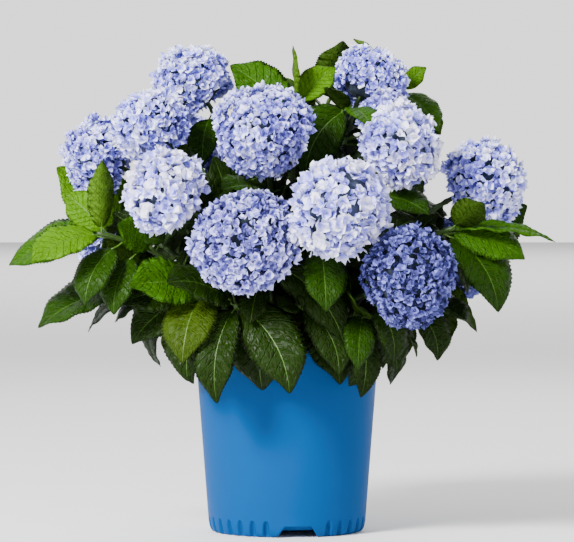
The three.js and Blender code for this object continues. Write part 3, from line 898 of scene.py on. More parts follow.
SHOOTS = [
    Shoot(
        "top_left", (-114, 20, 535), 35, 96, 50, 44, ((-100, -15, 436),), Tint.PALE, MID, {0: MID},
        floret=0.8,
    ),
    Shoot("far_left_upper", (-161, -60, 482), 80, 92, 45, 43, (), Tint.PALE, MID, floret=0.85),
    Shoot("far_left_lower", (-223, 0, 447), 30, 96, 46, 44, (), Tint.SKY, MID, floret=0.8, stretch=1.08),
    Shoot(
        "front_left", (-140, -150, 404), 60, 104, 49, 44, (), Tint.ICE, MID,
        inner=((-86, -72, 446, 0.8, 0.85),), floret=1.05,
    ),
    Shoot(
        "upper_middle", (-28, -100, 474), 20, 108, 60, 47, (None, None, (-75, -125, 406)),
        Tint.SKY, MID, {7: MID}, inner=((2, -80, 430, 2, 0.9), (-42, -128, 412, 0.8, 0.8)), floret=0.82,
    ),
    Shoot(
        "front_low_left", (-50, -190, 345), 70, 112, 63, 50, (None, (66, -160, 228, 0.8, 0.55)),
        Tint.LAVENDER, DEEP, {1: SHADE}, floret=0.8,
    ),
    Shoot("front_middle", (59, -215, 386), 40, 108, 57, 50, (), Tint.ICE, MID, floret=1.08),
    Shoot(
        "upper_right", (133, -110, 458), 15, 104, 49, 43, (None, None, (165, -120, 377)),
        Tint.ICE, MID, floret=0.98,
    ),
    Shoot("top_right", (100, 65, 540), 50, 96, 48, 37, (), Tint.PALE, MID, floret=0.78),
    Shoot("top_right_inner", (118, 0, 486), 85, 84, 38, 34, (), Tint.SKY, MID, floret=0.78),
    Shoot(
        "far_right", (233, -20, 412), 55, 108, 58, 51, (), Tint.PALE, DEEP,
        inner=((164, 10, 420, 0.8, 0.7),), floret=0.85,
    ),
    Shoot(
        "front_low_right", (139, -198, 306), 25, 104, 54, 52, (), Tint.DEEP, DEEP, floret=0.7, stretch=1.14
    ),
    Shoot("back_left_upper", (-130, 140, 455), 45, 100, 52, 45, (), Tint.SKY, MID),
    Shoot("back_middle_upper", (-20, 165, 470), 10, 104, 54, 46, (), Tint.PALE, MID),
    Shoot("back_right_upper", (130, 175, 440), 70, 100, 52, 45, (), Tint.SKY, MID),
    Shoot("back_far_left", (-215, 130, 345), 20, 104, 50, 44, (), Tint.LAVENDER, MID),
    Shoot("back_low_left", (-95, 235, 350), 65, 106, 56, 48, (), Tint.SKY, DEEP),
    Shoot("back_low_right", (55, 250, 345), 30, 106, 56, 48, (), Tint.LAVENDER, DEEP),
    Shoot("back_far_right", (205, 150, 320), 75, 104, 52, 46, (), Tint.DEEP, DEEP),
    Shoot(
        "low_left_front", (-98, -112, 290), 45, 108, tone=DEEP,
        reach=((-180, -175, 296), (-126, -165, 207, 0.8), (-193, -120, 274), (-180, -105, 226),
               (-115, -118, 184)),
        tones={0: LIGHT, 1: OLIVE},
    ),
    Shoot(
        "left_fan", (-219, -130, 356), 20, 108, tone=LIGHT,
        reach=((-212, -154, 440, -1.5), (-292, -170, 322), (-325, -85, 318, 0), (-262, -110, 402),
               (-232, -155, 273), (-142, -98, 346), (-199, -145, 262)),
        tones={0: YOUNG, 3: YOUNG, 5: MID, 6: MID, 8: DEEP, 9: LIGHT},
        inner=((-202, -72, 380, 1.2), (-196, -138, 366, 3, 1.1)),
    ),
    Shoot("left_back_fan", (-206, 72, 362), 35, 104, tone=LIGHT, reach=((-279, 58, 434, 2),)),
    Shoot("left_low", (-178, -60, 292), 40, 112, tone=DEEP, reach=((-292, -70, 244, 0.2),)),
    Shoot(
        "top_fan", (10, -15, 512), 0, 96, tone=LIGHT,
        reach=((7, -25, 578), (58, 10, 553, 2), (-68, 0, 555, 3)), tones={0: YOUNG, 1: YOUNG, 2: LIGHT},
        inner=((-12, -40, 395, 3, 1.0), (-66, -34, 402, 3, 1.1)),
    ),
    Shoot("top_right_fan", (76, -12, 508), 30, 96, tone=LIGHT, reach=((22, -32, 420, 2), (99, -70, 479))),
    Shoot("top_back_fan", (52, 128, 518), 60, 92, tone=MID, reach=((68, 75, 588),)),
    Shoot(
        "top_right_back", (140, 126, 530), 10, 90, tone=LIGHT,
        reach=((171, 112, 557, 2), (183, 92, 478, 1.4)), tones={0: YOUNG, 1: LIGHT},
    ),
    Shoot(
        "right_fan", (196, -98, 362), 50, 108, tone=MID,
        reach=((313, -98, 345, 0, 0.5), None, (276, -104, 325), (241, -125, 264)),
        tones={0: LIGHT, 1: MID, 2: LIGHT, 8: DEEP}, inner=((180, -52, 378, 0.8, 0.8),),
    ),
    Shoot(
        "right_back_fan", (222, 50, 330), 15, 104, tone=MID, reach=((288, 0, 361), None, (292, 74, 388)),
        inner=((187, 30, 392, 0.8, 0.8),),
    ),
    Shoot("low_right_front", (148, -66, 270), 70, 104, tone=DEEP, reach=((206, -140, 256), (176, -74, 206))),
    Shoot(
        "rim_front_left", (-58, -140, 272), 10, 108, tone=DEEP,
        reach=((-80, -165, 161, 0.8, 0.65), (3, -178, 173, 0.8, 0.85)),
    ),
    Shoot("rim_front", (14, -140, 274), 55, 108, tone=SHADE, reach=((51, -165, 192, 0.8, 0.75),)),
    Shoot(
        "rim_front_right", (92, -128, 262), 30, 104, tone=DEEP,
        reach=((74, -178, 200, 0.8, 0.75), (129, -95, 192), (85, -130, 166, 0.8, 0.6)),
    ),
    Shoot("rim_back_right", (100, 120, 262), 45, 106, tone=DEEP),
    Shoot("rim_back", (-22, 138, 270), 0, 106, tone=DEEP),
    Shoot("rim_back_left", (-130, 70, 262), 60, 106, tone=DEEP),
]


@dataclass
class GrownLeaf:
    """One leaf as the plant has it."""

    shoot: Shoot
    pair: int
    side: int
    pose: Pose

    def luck(self, what: int) -> float:
        """Repeatable chance from 0 to 1 for one of the leaf's own features."""
        return chance(self.shoot.index, self.pair, self.side, 10 + what)

    @property
    def tone(self) -> Tone:
        """The leaf's tone: the shoot's own, deeper lower down, deeper still near the axis as painted shade
        inside the crown, with a little chance; a leaf on a bare limb takes the shaded tone.

        Returns:
            The tone.
        """
        place = 2 * self.pair + self.side
        if place in self.shoot.tones:
            return self.shoot.tones[place]
        # Leaves on the bare limbs lie inside the crown and are painted in the shaded tone.
        if self.pair >= self.shoot.pairs:
            return Tone.SHADE
        older = (-0.4, 0.1, 0.6, 0.9)[self.pair]
        # Painted shade: a leaf whose middle is near the axis, inside the crown, is deeper.
        middle = self.pose.midline(0.5)
        inner = 1.2 * (1 - smooth(math.hypot(middle[0], middle[1]), 60, 170))
        tone = self.shoot.tone + older + inner + (self.luck(0) - 0.5) * 0.9
        return Tone(round(clamp(tone, Tone.YOUNG, Tone.SHADE)))


class Plan:
    """Where every limb and leaf goes, by the rule of the solids and checked against them."""

    MATCH = 0.5  # mm within which a solid's corner stands for a predicted one
    INNER_PAIRS = 2
    INNER_REACH = 225.0  # mm from the axis
    GIVEN_REACH = 265.0  # mm, for a leaf whose end is given
    INNER_HEIGHTS = (226.0, 500.0)  # mm
    APART = 7.0  # mm between an inner leaf and any other
    GIVEN_APART = 2.45  # mm, for a leaf whose end is given
    NEARBY = 90.0  # mm, beyond which another leaf can't be near
    LOWEST_PAIR = 0.85  # of the shoot's line, down from its tip
    AROUND_BLOOM = 1.04  # of a bloom's radius

    def __init__(self, shoots: list[Shoot]) -> None:
        """Roots the shoots, finds their lines and then their leaves.

        Args:
            shoots: the shoots, which get their numbers here.
        """
        self.shoots = shoots
        for number, shoot in enumerate(shoots):
            shoot.index = number + 1
        self.give_roots()
        for shoot in shoots:
            shoot.give_line(0)
        self.leaves: list[GrownLeaf] = []
        for shoot in shoots:
            corners = self.corners(shoot.node)
            self.find_line(shoot, corners)
            self.find_leaves(shoot, corners)

    def give_roots(self) -> None:
        """Deals the shoots to rings on the root crown, the nearest inside, in order of direction."""
        waiting = sorted(self.shoots, key=lambda s: math.hypot(s.tip[0], s.tip[1]))
        for radius, rise, places in SIZES.rings:
            dealt, waiting = waiting[:places], waiting[places:]
            ring = sorted(dealt, key=lambda s: math.atan2(s.tip[1], s.tip[0]))
            step = 2 * math.pi / len(ring)
            start = sum(math.atan2(s.tip[1], s.tip[0]) - i * step for i, s in enumerate(ring)) / len(ring)
            for i, shoot in enumerate(ring):
                angle = start + i * step
                height = SIZES.crown_base + rise
                shoot.root = np.array([radius * math.cos(angle), radius * math.sin(angle), height])

    @staticmethod
    def corners(node: str) -> KDTree:
        """The corners of a CAD node, for finding the nearest.

        Args:
            node: its name.

        Returns:
            A tree of them, in millimetres.
        """
        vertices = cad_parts[node].data.vertices
        tree = KDTree(len(vertices))
        for i, vertex in enumerate(vertices):
            tree.insert(vertex.co / MM, i)
        tree.balance()
        return tree

    @staticmethod
    def find_line(shoot: Shoot, corners: KDTree) -> None:
        """Bends the shoot's line as its solid is bent.

        Args:
            shoot: the shoot.
            corners: its solid's corners.
        """
        shares = (0.0,) if shoot.across else (0.6, 0.8, 1.0)

        def miss(attempt: int) -> float:
            """How far a try's stem lies from the solid's corners."""
            shoot.give_line(attempt)
            return sum(corners.find(Vector(p))[2] for share in shares for p in shoot.ring(share))

        shoot.give_line(min(range(SIZES.sway_tries), key=miss))

    def find_leaves(self, shoot: Shoot, corners: KDTree) -> None:
        """Keeps the leaves that the solid has, each at the try that it took.

        Args:
            shoot: the shoot.
            corners: its solid's corners.
        """
        for pair in range(shoot.pairs):
            for side in (0, 1):
                poses = [shoot.pose(pair, side, attempt) for attempt in range(SIZES.leaf_tries)]
                misses = [corners.find(Vector(pose.midline(1.0)))[2] for pose in poses]
                best = int(np.argmin(misses))
                if misses[best] < self.MATCH:
                    self.leaves.append(GrownLeaf(shoot, pair, side, poses[best]))

    def inner_leaves(self) -> list[GrownLeaf]:
        """Shaded leaves on the bare limbs, by the same rule as the others, wherever one has room.

        Returns:
            The leaves.
        """
        taken = np.concatenate([leaf.pose.samples() for leaf in self.leaves])
        grown: list[GrownLeaf] = []
        for shoot in self.shoots:
            for pair in range(shoot.pairs, shoot.pairs + self.INNER_PAIRS):
                if shoot.pair_distance(pair) > self.LOWEST_PAIR * shoot.line.length:
                    continue
                for side in (0, 1):
                    given = 2 * (pair - shoot.pairs) + side < len(shoot.inner)
                    room = (self.GIVEN_APART, self.GIVEN_REACH) if given else (self.APART, self.INNER_REACH)
                    poses = (shoot.pose(pair, side, attempt) for attempt in range(SIZES.leaf_tries))
                    pose = next((p for p in poses if self.has_room(p.samples(), taken, *room)), None)
                    if pose:
                        taken = np.concatenate((taken, pose.samples()))
                        grown.append(GrownLeaf(shoot, pair, side, pose))
        return grown

    def has_room(self, points: Array, taken: Array, apart: float, limit: float) -> bool:
        """Whether a leaf stays inside the crown and clear of the blooms and of the other leaves.

        Args:
            points: points over the leaf.
            taken: points over the leaves that are there.
            apart: how far it stays from them, in millimetres.
            limit: how far from the axis it may reach, in millimetres.

        Returns:
            True where it has room.
        """
        low, high = self.INNER_HEIGHTS
        if np.hypot(points[:, 0], points[:, 1]).max() > limit:
            return False
        if points[:, 2].min() < low or points[:, 2].max() > high:
            return False
        for shoot in (s for s in self.shoots if s.across):
            scale = np.array([shoot.across, shoot.across, shoot.high]) * self.AROUND_BLOOM
            local = (points - np.array(shoot.tip)) @ shoot.bloom_frame / scale
            if np.linalg.norm(local, axis=1).min() < 1:
                return False
        near = taken[np.linalg.norm(taken - points.mean(axis=0), axis=1) < self.NEARBY]
        return not len(near) or np.linalg.norm(near[:, None] - points[None], axis=2).min() > apart


# ---------------------------------------------------------------- leaves


class Part(IntEnum):
    """The parts of a leaf's mesh, as the roles of its faces."""

    TOP = 0
    MIDRIB = 1
    UNDERSIDE = 2


@dataclass
class Foliage:
    """Ovate leaves with toothed edges, quilted between their side veins, on short petioles."""

    columns: tuple[float, ...] = (-1, -0.75, -0.5, -0.25, -0.016, 0.016, 0.25, 0.5, 0.75, 1)
    under: tuple[float, ...] = (-1, 0, 1)
    stations: int = 54
    midrib: float = 0.02  # of the half width, within which a face is the midrib's
    quilt: float = 0.019  # of the blade's length, the rise of the tissue between two veins
    first_tooth: int = 6  # station
    tooth: float = 0.034  # of the half width
    tooth_lean: float = 0.35  # of a station, how far a tooth points on
    waves: tuple[float, float] = (2.2, 1.6)  # along the edge, at least and more by luck
    wave: float = 0.014  # of the blade's length
    fold: tuple[float, float] = (0.45, 0.5)  # of the solids' fold, at least and more by luck
    droop: tuple[float, float] = (0.066, 0.132)  # of the half width, at the edge
    groove: float = 0.006  # of the blade's length, over the midrib
    keel: float = 0.012  # of the blade's length, under it
    twist: float = 0.22  # radians from foot to tip
    thickness: float = 0.55  # mm
    petiole_radius: float = 1.5
    petiole_arch: float = 1.2  # mm
    petiole_run: float = 0.035  # of the blade's length, how far it runs on under the foot

    def blade_template(self) -> Template:
        """The blade with x across it, y along it and z 0 on the face and -1 under it, closed all round.

        Returns:
            The template, whose faces' roles are parts.
        """
        bm = bmesh.new()
        for columns, lowered in ((self.columns, False), (self.under, True)):
            known, old = set(bm.verts), set(bm.faces)
            bmesh.ops.create_grid(bm, x_segments=len(columns) - 1, y_segments=self.stations, size=1)
            fresh = [v for v in bm.verts if v not in known]
            xs = sorted({round(v.co.x, 4) for v in fresh})
            for vert in fresh:
                x = columns[xs.index(round(vert.co.x, 4))]
                vert.co = (x, (vert.co.y + 1) / 2, -1.0 if lowered and abs(x) < 1 else 0.0)
            faces = [f for f in bm.faces if f not in old]
            for face in faces:
                near = abs(face.calc_center_median().x) < self.midrib
                face.material_index = Part.UNDERSIDE if lowered else Part.MIDRIB if near else Part.TOP
            if lowered:
                bmesh.ops.reverse_faces(bm, faces=faces)
        for vert in bm.verts:
            if vert.co.y > 1 - 1e-6:
                vert.co = (0, 1, 0)
        bmesh.ops.remove_doubles(bm, verts=bm.verts, dist=1e-5)
        bmesh.ops.holes_fill(bm, edges=[e for e in bm.edges if e.is_boundary], sides=0)
        return Template.of(bm)

    def blade(self, leaf: GrownLeaf, template: Template) -> Array:
        """The blade's vertices for one leaf.

        Args:
            leaf: the leaf.
            template: the blade's template.

        Returns:
            The vertices in millimetres.
        """
        pose, length = leaf.pose, leaf.pose.length
        x, s, under = template.places.T
        station = np.rint(s * self.stations).astype(int)
        edge = (np.abs(x) > 0.99) & (station >= self.first_tooth) & (station < self.stations - 1)
        tooth = np.where(edge, np.where(station % 2 == 1, 1.0, -1.0), 0.0)
        s = np.clip(s + np.maximum(tooth, 0) * self.tooth_lean / self.stations, 0, 1)
        half = SIZES.half_width * pose.width * length * outline(s) * (1 + self.tooth * tooth)
        half = np.maximum(half, np.where(s < 0.5, self.petiole_radius * 0.8, 0.0))

        phase = VEINS * s - SWEEP * np.abs(x)
        bulge = 1 - (2 * (phase - np.floor(phase)) - 1) ** 2
        quilted = smooth(np.abs(x), 0.0, 0.2) * (1 - smooth(np.abs(x), 0.72, 1.0))
        quilted = quilted * smooth(s, 0.02, 0.15) * (1 - smooth(s, 0.8, 1.0))
        along_rib = np.where(np.abs(x) < 0.05, length * (1 - s), 0.0)
        relief = self.quilt * length * bulge * quilted - self.groove * along_rib

        turns = (self.waves[0] + self.waves[1] * leaf.luck(1)) * s + leaf.luck(2)
        ripple = np.sin(2 * math.pi * turns + np.sign(x) * 1.3)
        wave = self.wave * length * ripple * x**2 * smooth(s, 0.05, 0.3) * (1 - smooth(s, 0.85, 1.0))
        fold = math.radians(SIZES.fold * (self.fold[0] + self.fold[1] * leaf.luck(3)))
        droop = self.droop[0] + self.droop[1] * leaf.luck(4)
        rise = half * (np.sin(fold) * np.abs(x) - droop * x**2)
        across, off = pose.sides(s, self.twist * (leaf.luck(5) - 0.5) * s)
        sink = under * (self.thickness + self.keel * along_rib)
        lift = rise + np.where(under < 0, 0.0, relief) + wave + sink
        return pose.midline(s) + across * (x * half * np.cos(fold))[:, None] + off * lift[:, None]

    def petiole(self, leaf: GrownLeaf, template: Template) -> Array:
        """The petiole's vertices for one leaf: thick at the stem, arched, and run on under the blade's foot.

        Args:
            leaf: the leaf.
            template: a unit tube.

        Returns:
            The vertices in millimetres.
        """
        pose = leaf.pose
        x, y, t = template.places.T
        start, end = pose.foot - pose.leaving, pose.midline(self.petiole_run)
        arch = self.petiole_arch * np.sin(math.pi * t)
        across, off = pose.sides(0.0)
        radius = self.petiole_radius * (1.25 - 0.5 * smooth(t, 0.0, 0.35))
        middle = start + (end - start) * t[:, None] - off * arch[:, None]
        return middle + across * (x * radius)[:, None] + off * (y * radius)[:, None]

    def build(self, plan: Plan, finishes: "Palette") -> None:
        """Makes the leaves in a piece for each region and for the crown's inside, and the petioles in one.

        Args:
            plan: the plant.
            finishes: the materials.
        """
        blade, petiole = self.blade_template(), tube_template(6, 4)
        uv = np.column_stack(((blade.places[:, 0] + 1) / 2, blade.places[:, 1]))
        stalks = Gathering("petioles", [finishes.rib])
        inner = plan.inner_leaves()
        log.info("%d leaves more inside the crown", len(inner))
        groups = {r.value: [g for g in plan.leaves if g.shoot.region == r] for r in Region} | {"inner": inner}
        for name, leaves in groups.items():
            piece = Gathering("leaves_" + name, finishes.leaf_materials, BLADE_MAP)
            for leaf in leaves:
                slots = np.array([leaf.tone, finishes.rib_slot, finishes.under_slot(leaf.tone)])[blade.roles]
                piece.take(blade, self.blade(leaf, blade), slots, uv)
                stalks.take(petiole, self.petiole(leaf, petiole), 0)
            piece.build("foliage", sorted({leaf.shoot.node for leaf in leaves}))
        stalks.build("foliage", [s.node for s in plan.shoots])


# ---------------------------------------------------------------- blooms


class Sepal(IntEnum):
    """The parts of a floret's mesh, as the roles of its faces."""

    MIDDLE = 0
    FOOT = 1
    BEAD = 2
    TIP = 3


@dataclass
class Blossom:
    """Globes of sterile florets, each of four broad overlapping sepals round a small bead."""

    floret: float = 8.9  # mm, its radius
    sizes: tuple[float, float] = (0.78, 0.36)  # of that radius, at least and more by luck
    heights: tuple[float, float] = (0.6, 0.7)  # how open a floret is, in the same way
    cover: float = 2.3  # how many florets lie over each spot
    inner_share: float = 0.4  # of the florets, those that sit deeper
    inner_depth: float = 0.1  # of the globe's radius, how much deeper they sit
    scatter: float = 0.09  # of it, how much deeper any floret may sit
    tilts: tuple[float, float] = (0.36, 0.42)  # how far an outer and an inner floret turn off the globe
    lowest: float = 1.78  # how far down the globe florets reach, from 0 at the top to 2
    seat: float = 0.9  # of the globe's radius
    swells: tuple[tuple[float, float], ...] = ((0.05, 3.1), (0.035, 5.3))  # broad swellings' height and pace
    lumps: int = 14  # heads of florets that stand out
    lump: float = 0.06  # of the globe's radius, how far they do
    core: float = 0.72
    kinds: int = 16
    together: int = 4  # blooms in a piece
    along: tuple[float, ...] = (0.06, 0.34, 0.62, 0.88, 1.16)
    breadth: tuple[float, ...] = (0.11, 0.42, 0.57, 0.36, 0.0)
    foot_end: float = 0.4
    tip_start: float = 0.72

    def floret_template(self, kind: int) -> Template:
        """A floret of radius 1 with +Z outwards, its four sepals opened, creased and twisted by chance.

        Args:
            kind: which of the florets it is.

        Returns:
            The template, whose faces' roles are parts of a sepal.
        """
        bm = bmesh.new()
        for n in range(4):
            known, old = set(bm.verts), set(bm.faces)
            bmesh.ops.create_grid(bm, x_segments=2, y_segments=len(self.along) - 1, size=1)
            fresh = [v for v in bm.verts if v not in known]
            ys = sorted({round(v.co.y, 4) for v in fresh})
            size = 0.84 + 0.28 * chance(kind, n, 3)
            crease = 0.55 * (chance(kind, n, 4) - 0.3)
            for vert in fresh:
                row, x = ys.index(round(vert.co.y, 4)), round(vert.co.x)
                far = self.along[row]
                curl = (0.34 - 0.6 * chance(kind, n, 5)) * far**3
                ruffle = 0.2 * (chance(kind, n, 20 + 3 * row + x) - 0.5) * abs(x)
                vert.co = (x * self.breadth[row] * size, far * size, curl + crease * x * x * far + ruffle)
            for face in (f for f in bm.faces if f not in old):
                far = face.calc_center_median().y
                tip = Sepal.TIP if far > self.tip_start else Sepal.MIDDLE
                face.material_index = Sepal.FOOT if far < self.foot_end else tip
            opened = math.radians(6 + 30 * chance(kind, 9, 1) + 34 * chance(kind, n, 1))
            twist = 0.9 * (chance(kind, n, 2) - 0.5)
            turn = Matrix.Rotation(n * math.pi / 2 + 0.3 * (chance(kind, n, 6) - 0.5), 3, "Z")
            turn = turn @ Matrix.Rotation(opened, 3, "X") @ Matrix.Rotation(twist, 3, "Y")
            bmesh.ops.rotate(bm, verts=fresh, cent=(0, 0, 0), matrix=turn)
            bmesh.ops.translate(bm, verts=fresh, vec=(0, 0, 0.06 if n % 2 else 0.0))
        old = set(bm.faces)
        bead = bmesh.ops.create_cone(bm, cap_ends=True, segments=4, radius1=0.14, radius2=0, depth=0.16)
        bmesh.ops.translate(bm, verts=bead["verts"], vec=(0, 0, 0.12))
        for face in (f for f in bm.faces if f not in old):
            face.material_index = Sepal.BEAD
        return Template.of(bm)

    def directions(self, count: int) -> Array:
        """Directions spread evenly over the globe from its top down, on a golden spiral.

        Args:
            count: how many.

        Returns:
            A row for each.
        """
        k = np.arange(count)
        z = 1 - self.lowest * (k + 0.5) / count
        turn = k * math.pi * (3 - math.sqrt(5))
        ring = np.sqrt(1 - z * z)
        return np.column_stack((ring * np.cos(turn), ring * np.sin(turn), z))

    def build(self, plan: Plan, finishes: "Palette") -> None:
        """Makes the florets in pieces of a few blooms for each region, and the blooms' hearts, painted dark
        as shade, in one.

        Args:
            plan: the plant.
            finishes: the materials.
        """
        kinds = [self.floret_template(kind) for kind in range(self.kinds)]
        bm = bmesh.new()
        bmesh.ops.create_icosphere(bm, subdivisions=3, radius=1)
        ball = Template.of(bm)
        hearts = Gathering("bloom_shade_hearts", finishes.heart_shade_materials)
        blooming = [s for s in plan.shoots if s.across]
        for region in Region:
            here = [s for s in blooming if s.region == region]
            for first in range(0, len(here), self.together):
                group = here[first : first + self.together]
                number = first // self.together + 1
                piece = Gathering(f"florets_{region.value}_{number}", finishes.sepal_materials)
                for shoot in group:
                    self.bloom(shoot, piece, kinds, finishes)
                    self.heart(shoot, hearts, ball)
                piece.build("blossom", [s.node for s in group])
        hearts.build("blossom", [s.node for s in blooming])

    def count(self, shoot: Shoot) -> int:
        """How many florets cover a shoot's globe, an ellipsoid whose area Thomsen's formula gives.

        Args:
            shoot: the shoot.

        Returns:
            The number.
        """
        wide, high, power = shoot.across, shoot.high, 1.6
        area = 4 * math.pi * ((2 * (wide * high) ** power + wide ** (2 * power)) / 3) ** (1 / power)
        return int(area * self.lowest / 2 * self.cover / (math.pi * (self.floret * shoot.floret) ** 2))

    def bloom(self, shoot: Shoot, piece: Gathering, kinds: list[Template], finishes: "Palette") -> None:
        """Adds one bloom's florets to a piece.

        Args:
            shoot: the shoot that carries it.
            piece: what they are gathered in.
            kinds: the florets to choose from.
            finishes: the materials.
        """
        seed = np.random.default_rng(100 + shoot.index)
        scale = np.array([shoot.across, shoot.across, shoot.high])
        lumps = unit(seed.normal(size=(self.lumps, 3)))
        (swell, pace), (less, faster) = self.swells
        for out in self.directions(self.count(shoot)):
            inner = seed.random() < self.inner_share
            lump = float(np.exp(-((1 - lumps @ out) / 0.06)).max())
            swelling = swell * math.sin(pace * (out @ lumps[0]) + 6 * lumps[1][0])
            swelling += less * math.sin(faster * (out @ lumps[2]))
            depth = self.seat + swelling + self.lump * lump - self.scatter * seed.random()
            depth -= self.inner_depth if inner else 0.0
            aim = unit(unit(out / scale) + seed.normal(size=3) * self.tilts[inner])
            basis = axes(aim, seed.normal(size=3))
            template = kinds[int(seed.random() * len(kinds))]
            size = self.floret * shoot.floret * (self.sizes[0] + self.sizes[1] * seed.random())
            height = size * (self.heights[0] + self.heights[1] * seed.random())
            local = template.places * np.array([size, size, height])
            points = (local @ basis.T) @ shoot.bloom_frame.T + shoot.on_globe(out * scale * depth)
            # A floret's step is deeper by chance, and deeper still as painted shade where it sits low on the
            # globe, sits deeper in it, or lies between the lumps.
            low = max(0.15 - out[2], 0.0)
            shade = seed.random() * 0.9 + 0.3 * (1 - lump) + 0.5 * low + (0.8 if inner else 0.0)
            middle = finishes.sepal_slot(shoot.tint, int(clamp(shade * 2.0, 0, 2)))
            # Each sepal is painted one step deeper at its foot, as shade in the floret's middle, and one step
            # paler at its tip, as painted light.
            tip = max(middle - 1, finishes.sepal_slot(shoot.tint, 0))
            slots = np.array([middle, middle + 1, finishes.bead_slot, tip])
            piece.take(template, points, slots[template.roles])

    def heart(self, shoot: Shoot, piece: Gathering, ball: Template) -> None:
        """Adds the heart of short stalks and buds that shows between the florets, painted dark as the shade
        there.

        Args:
            shoot: the shoot that carries the bloom.
            piece: what the hearts are gathered in.
            ball: a ball of radius 1.
        """
        bumps = np.sin(ball.places @ np.array([19.0, 7, 3])) * np.cos(ball.places @ np.array([-5.0, 17, 11]))
        scale = np.array([shoot.across, shoot.across, shoot.high]) * self.core
        points = ball.places * (1 + 0.05 * bumps)[:, None] * scale
        # The heart takes its tint's darkest colour, as painted shade for the gaps between the florets.
        piece.take(ball, shoot.on_globe(points), list(Tint).index(shoot.tint))


# ---------------------------------------------------------------- limbs


@dataclass
class Limbs:
    """The woody canes, the green stems above them, and the crown that they spring from."""

    cane_root: float = 4.6
    cane_tip: float = 3.5
    knot: float = 0.3  # how much thicker a stem is at a pair of leaves
    knot_length: float = 3.2  # mm
    cane_ridges: float = 0.05  # of the radius
    stem_ridges: float = 0.015
    crown: tuple[tuple[float, float], ...] = (
        (0, 0), (45, 0), (46, 1.5), (44, 4), (38, 9), (28, 17), (15, 21), (0, 22)
    )
    knobs: float = 0.006  # of a place's distance from the origin

    def limb(
        self, shoot: Shoot, template: Template, ends: tuple[float, float], radii: tuple[float, float],
        ridges: float,
    ) -> Array:
        """A limb's vertices along a stretch of a shoot's line.

        Args:
            shoot: the shoot.
            template: a unit tube.
            ends: the stretch, as shares of the line.
            radii: the radius at each end.
            ridges: the height of the bark's ridges, as a share of the radius.

        Returns:
            The vertices in millimetres.
        """
        x, y, t = template.places.T
        u = ends[0] + (ends[1] - ends[0]) * t
        radius = radii[0] + (radii[1] - radii[0]) * t
        for pair in range(shoot.pairs):
            off = (u - 1) * shoot.line.length + shoot.pair_distance(pair)
            radius = radius * (1 + self.knot * np.exp(-((off / self.knot_length) ** 2)))
        turn = np.arctan2(y, x)
        wobble = np.sin(turn * 5 + shoot.index) * np.sin(u * 31 + turn * 2) + 0.6 * np.sin(turn * 3 + u * 53)
        radius = radius * (1 + ridges * wobble)
        out = np.cross(shoot.beside, shoot.line.tangent(u))
        return shoot.line.point(u) + shoot.beside * (x * radius)[:, None] + out * (y * radius)[:, None]

    def build(self, plan: Plan, finishes: "Palette") -> None:
        """Makes the canes in one piece, the stems in another, and the crown.

        Args:
            plan: the plant.
            finishes: the materials.
        """
        cane, stem = tube_template(14, 44), tube_template(10, 34)
        canes = Gathering("canes", [finishes.bark])
        stems = Gathering("stems", [finishes.stem])
        woody, green = (self.cane_root, self.cane_tip), (SIZES.stem_root, SIZES.stem_tip)
        for shoot in plan.shoots:
            foot = 0.0
            if shoot.across:
                canes.take(cane, self.limb(shoot, cane, (0.0, shoot.split), woody, self.cane_ridges), 0)
                foot = shoot.split + SIZES.clear / shoot.line.length
            stems.take(stem, self.limb(shoot, stem, (foot, 1.0), green, self.stem_ridges), 0)
        canes.build("bark", ["cane_" + s.key for s in plan.shoots if s.across])
        stems.build("foliage", [s.node for s in plan.shoots])

        bm = lathe([(r, SIZES.crown_base + z) for r, z in self.crown], 72)
        bmesh.ops.subdivide_edges(bm, edges=bm.edges, cuts=1, use_grid_fill=True)
        for vert in bm.verts:
            x, y, z = vert.co / MM
            knob = math.sin(x * 0.31 + 1) * math.sin(y * 0.27)
            knob += 0.6 * math.sin(x * 0.7 + y * 0.5) * math.cos(z * 0.9)
            if z > SIZES.crown_base + 1:
                vert.co *= 1 + self.knobs * knob
        publish(emit(bm, "root_crown_bark", [finishes.bark]), ["root_crown"])


# ---------------------------------------------------------------- pot


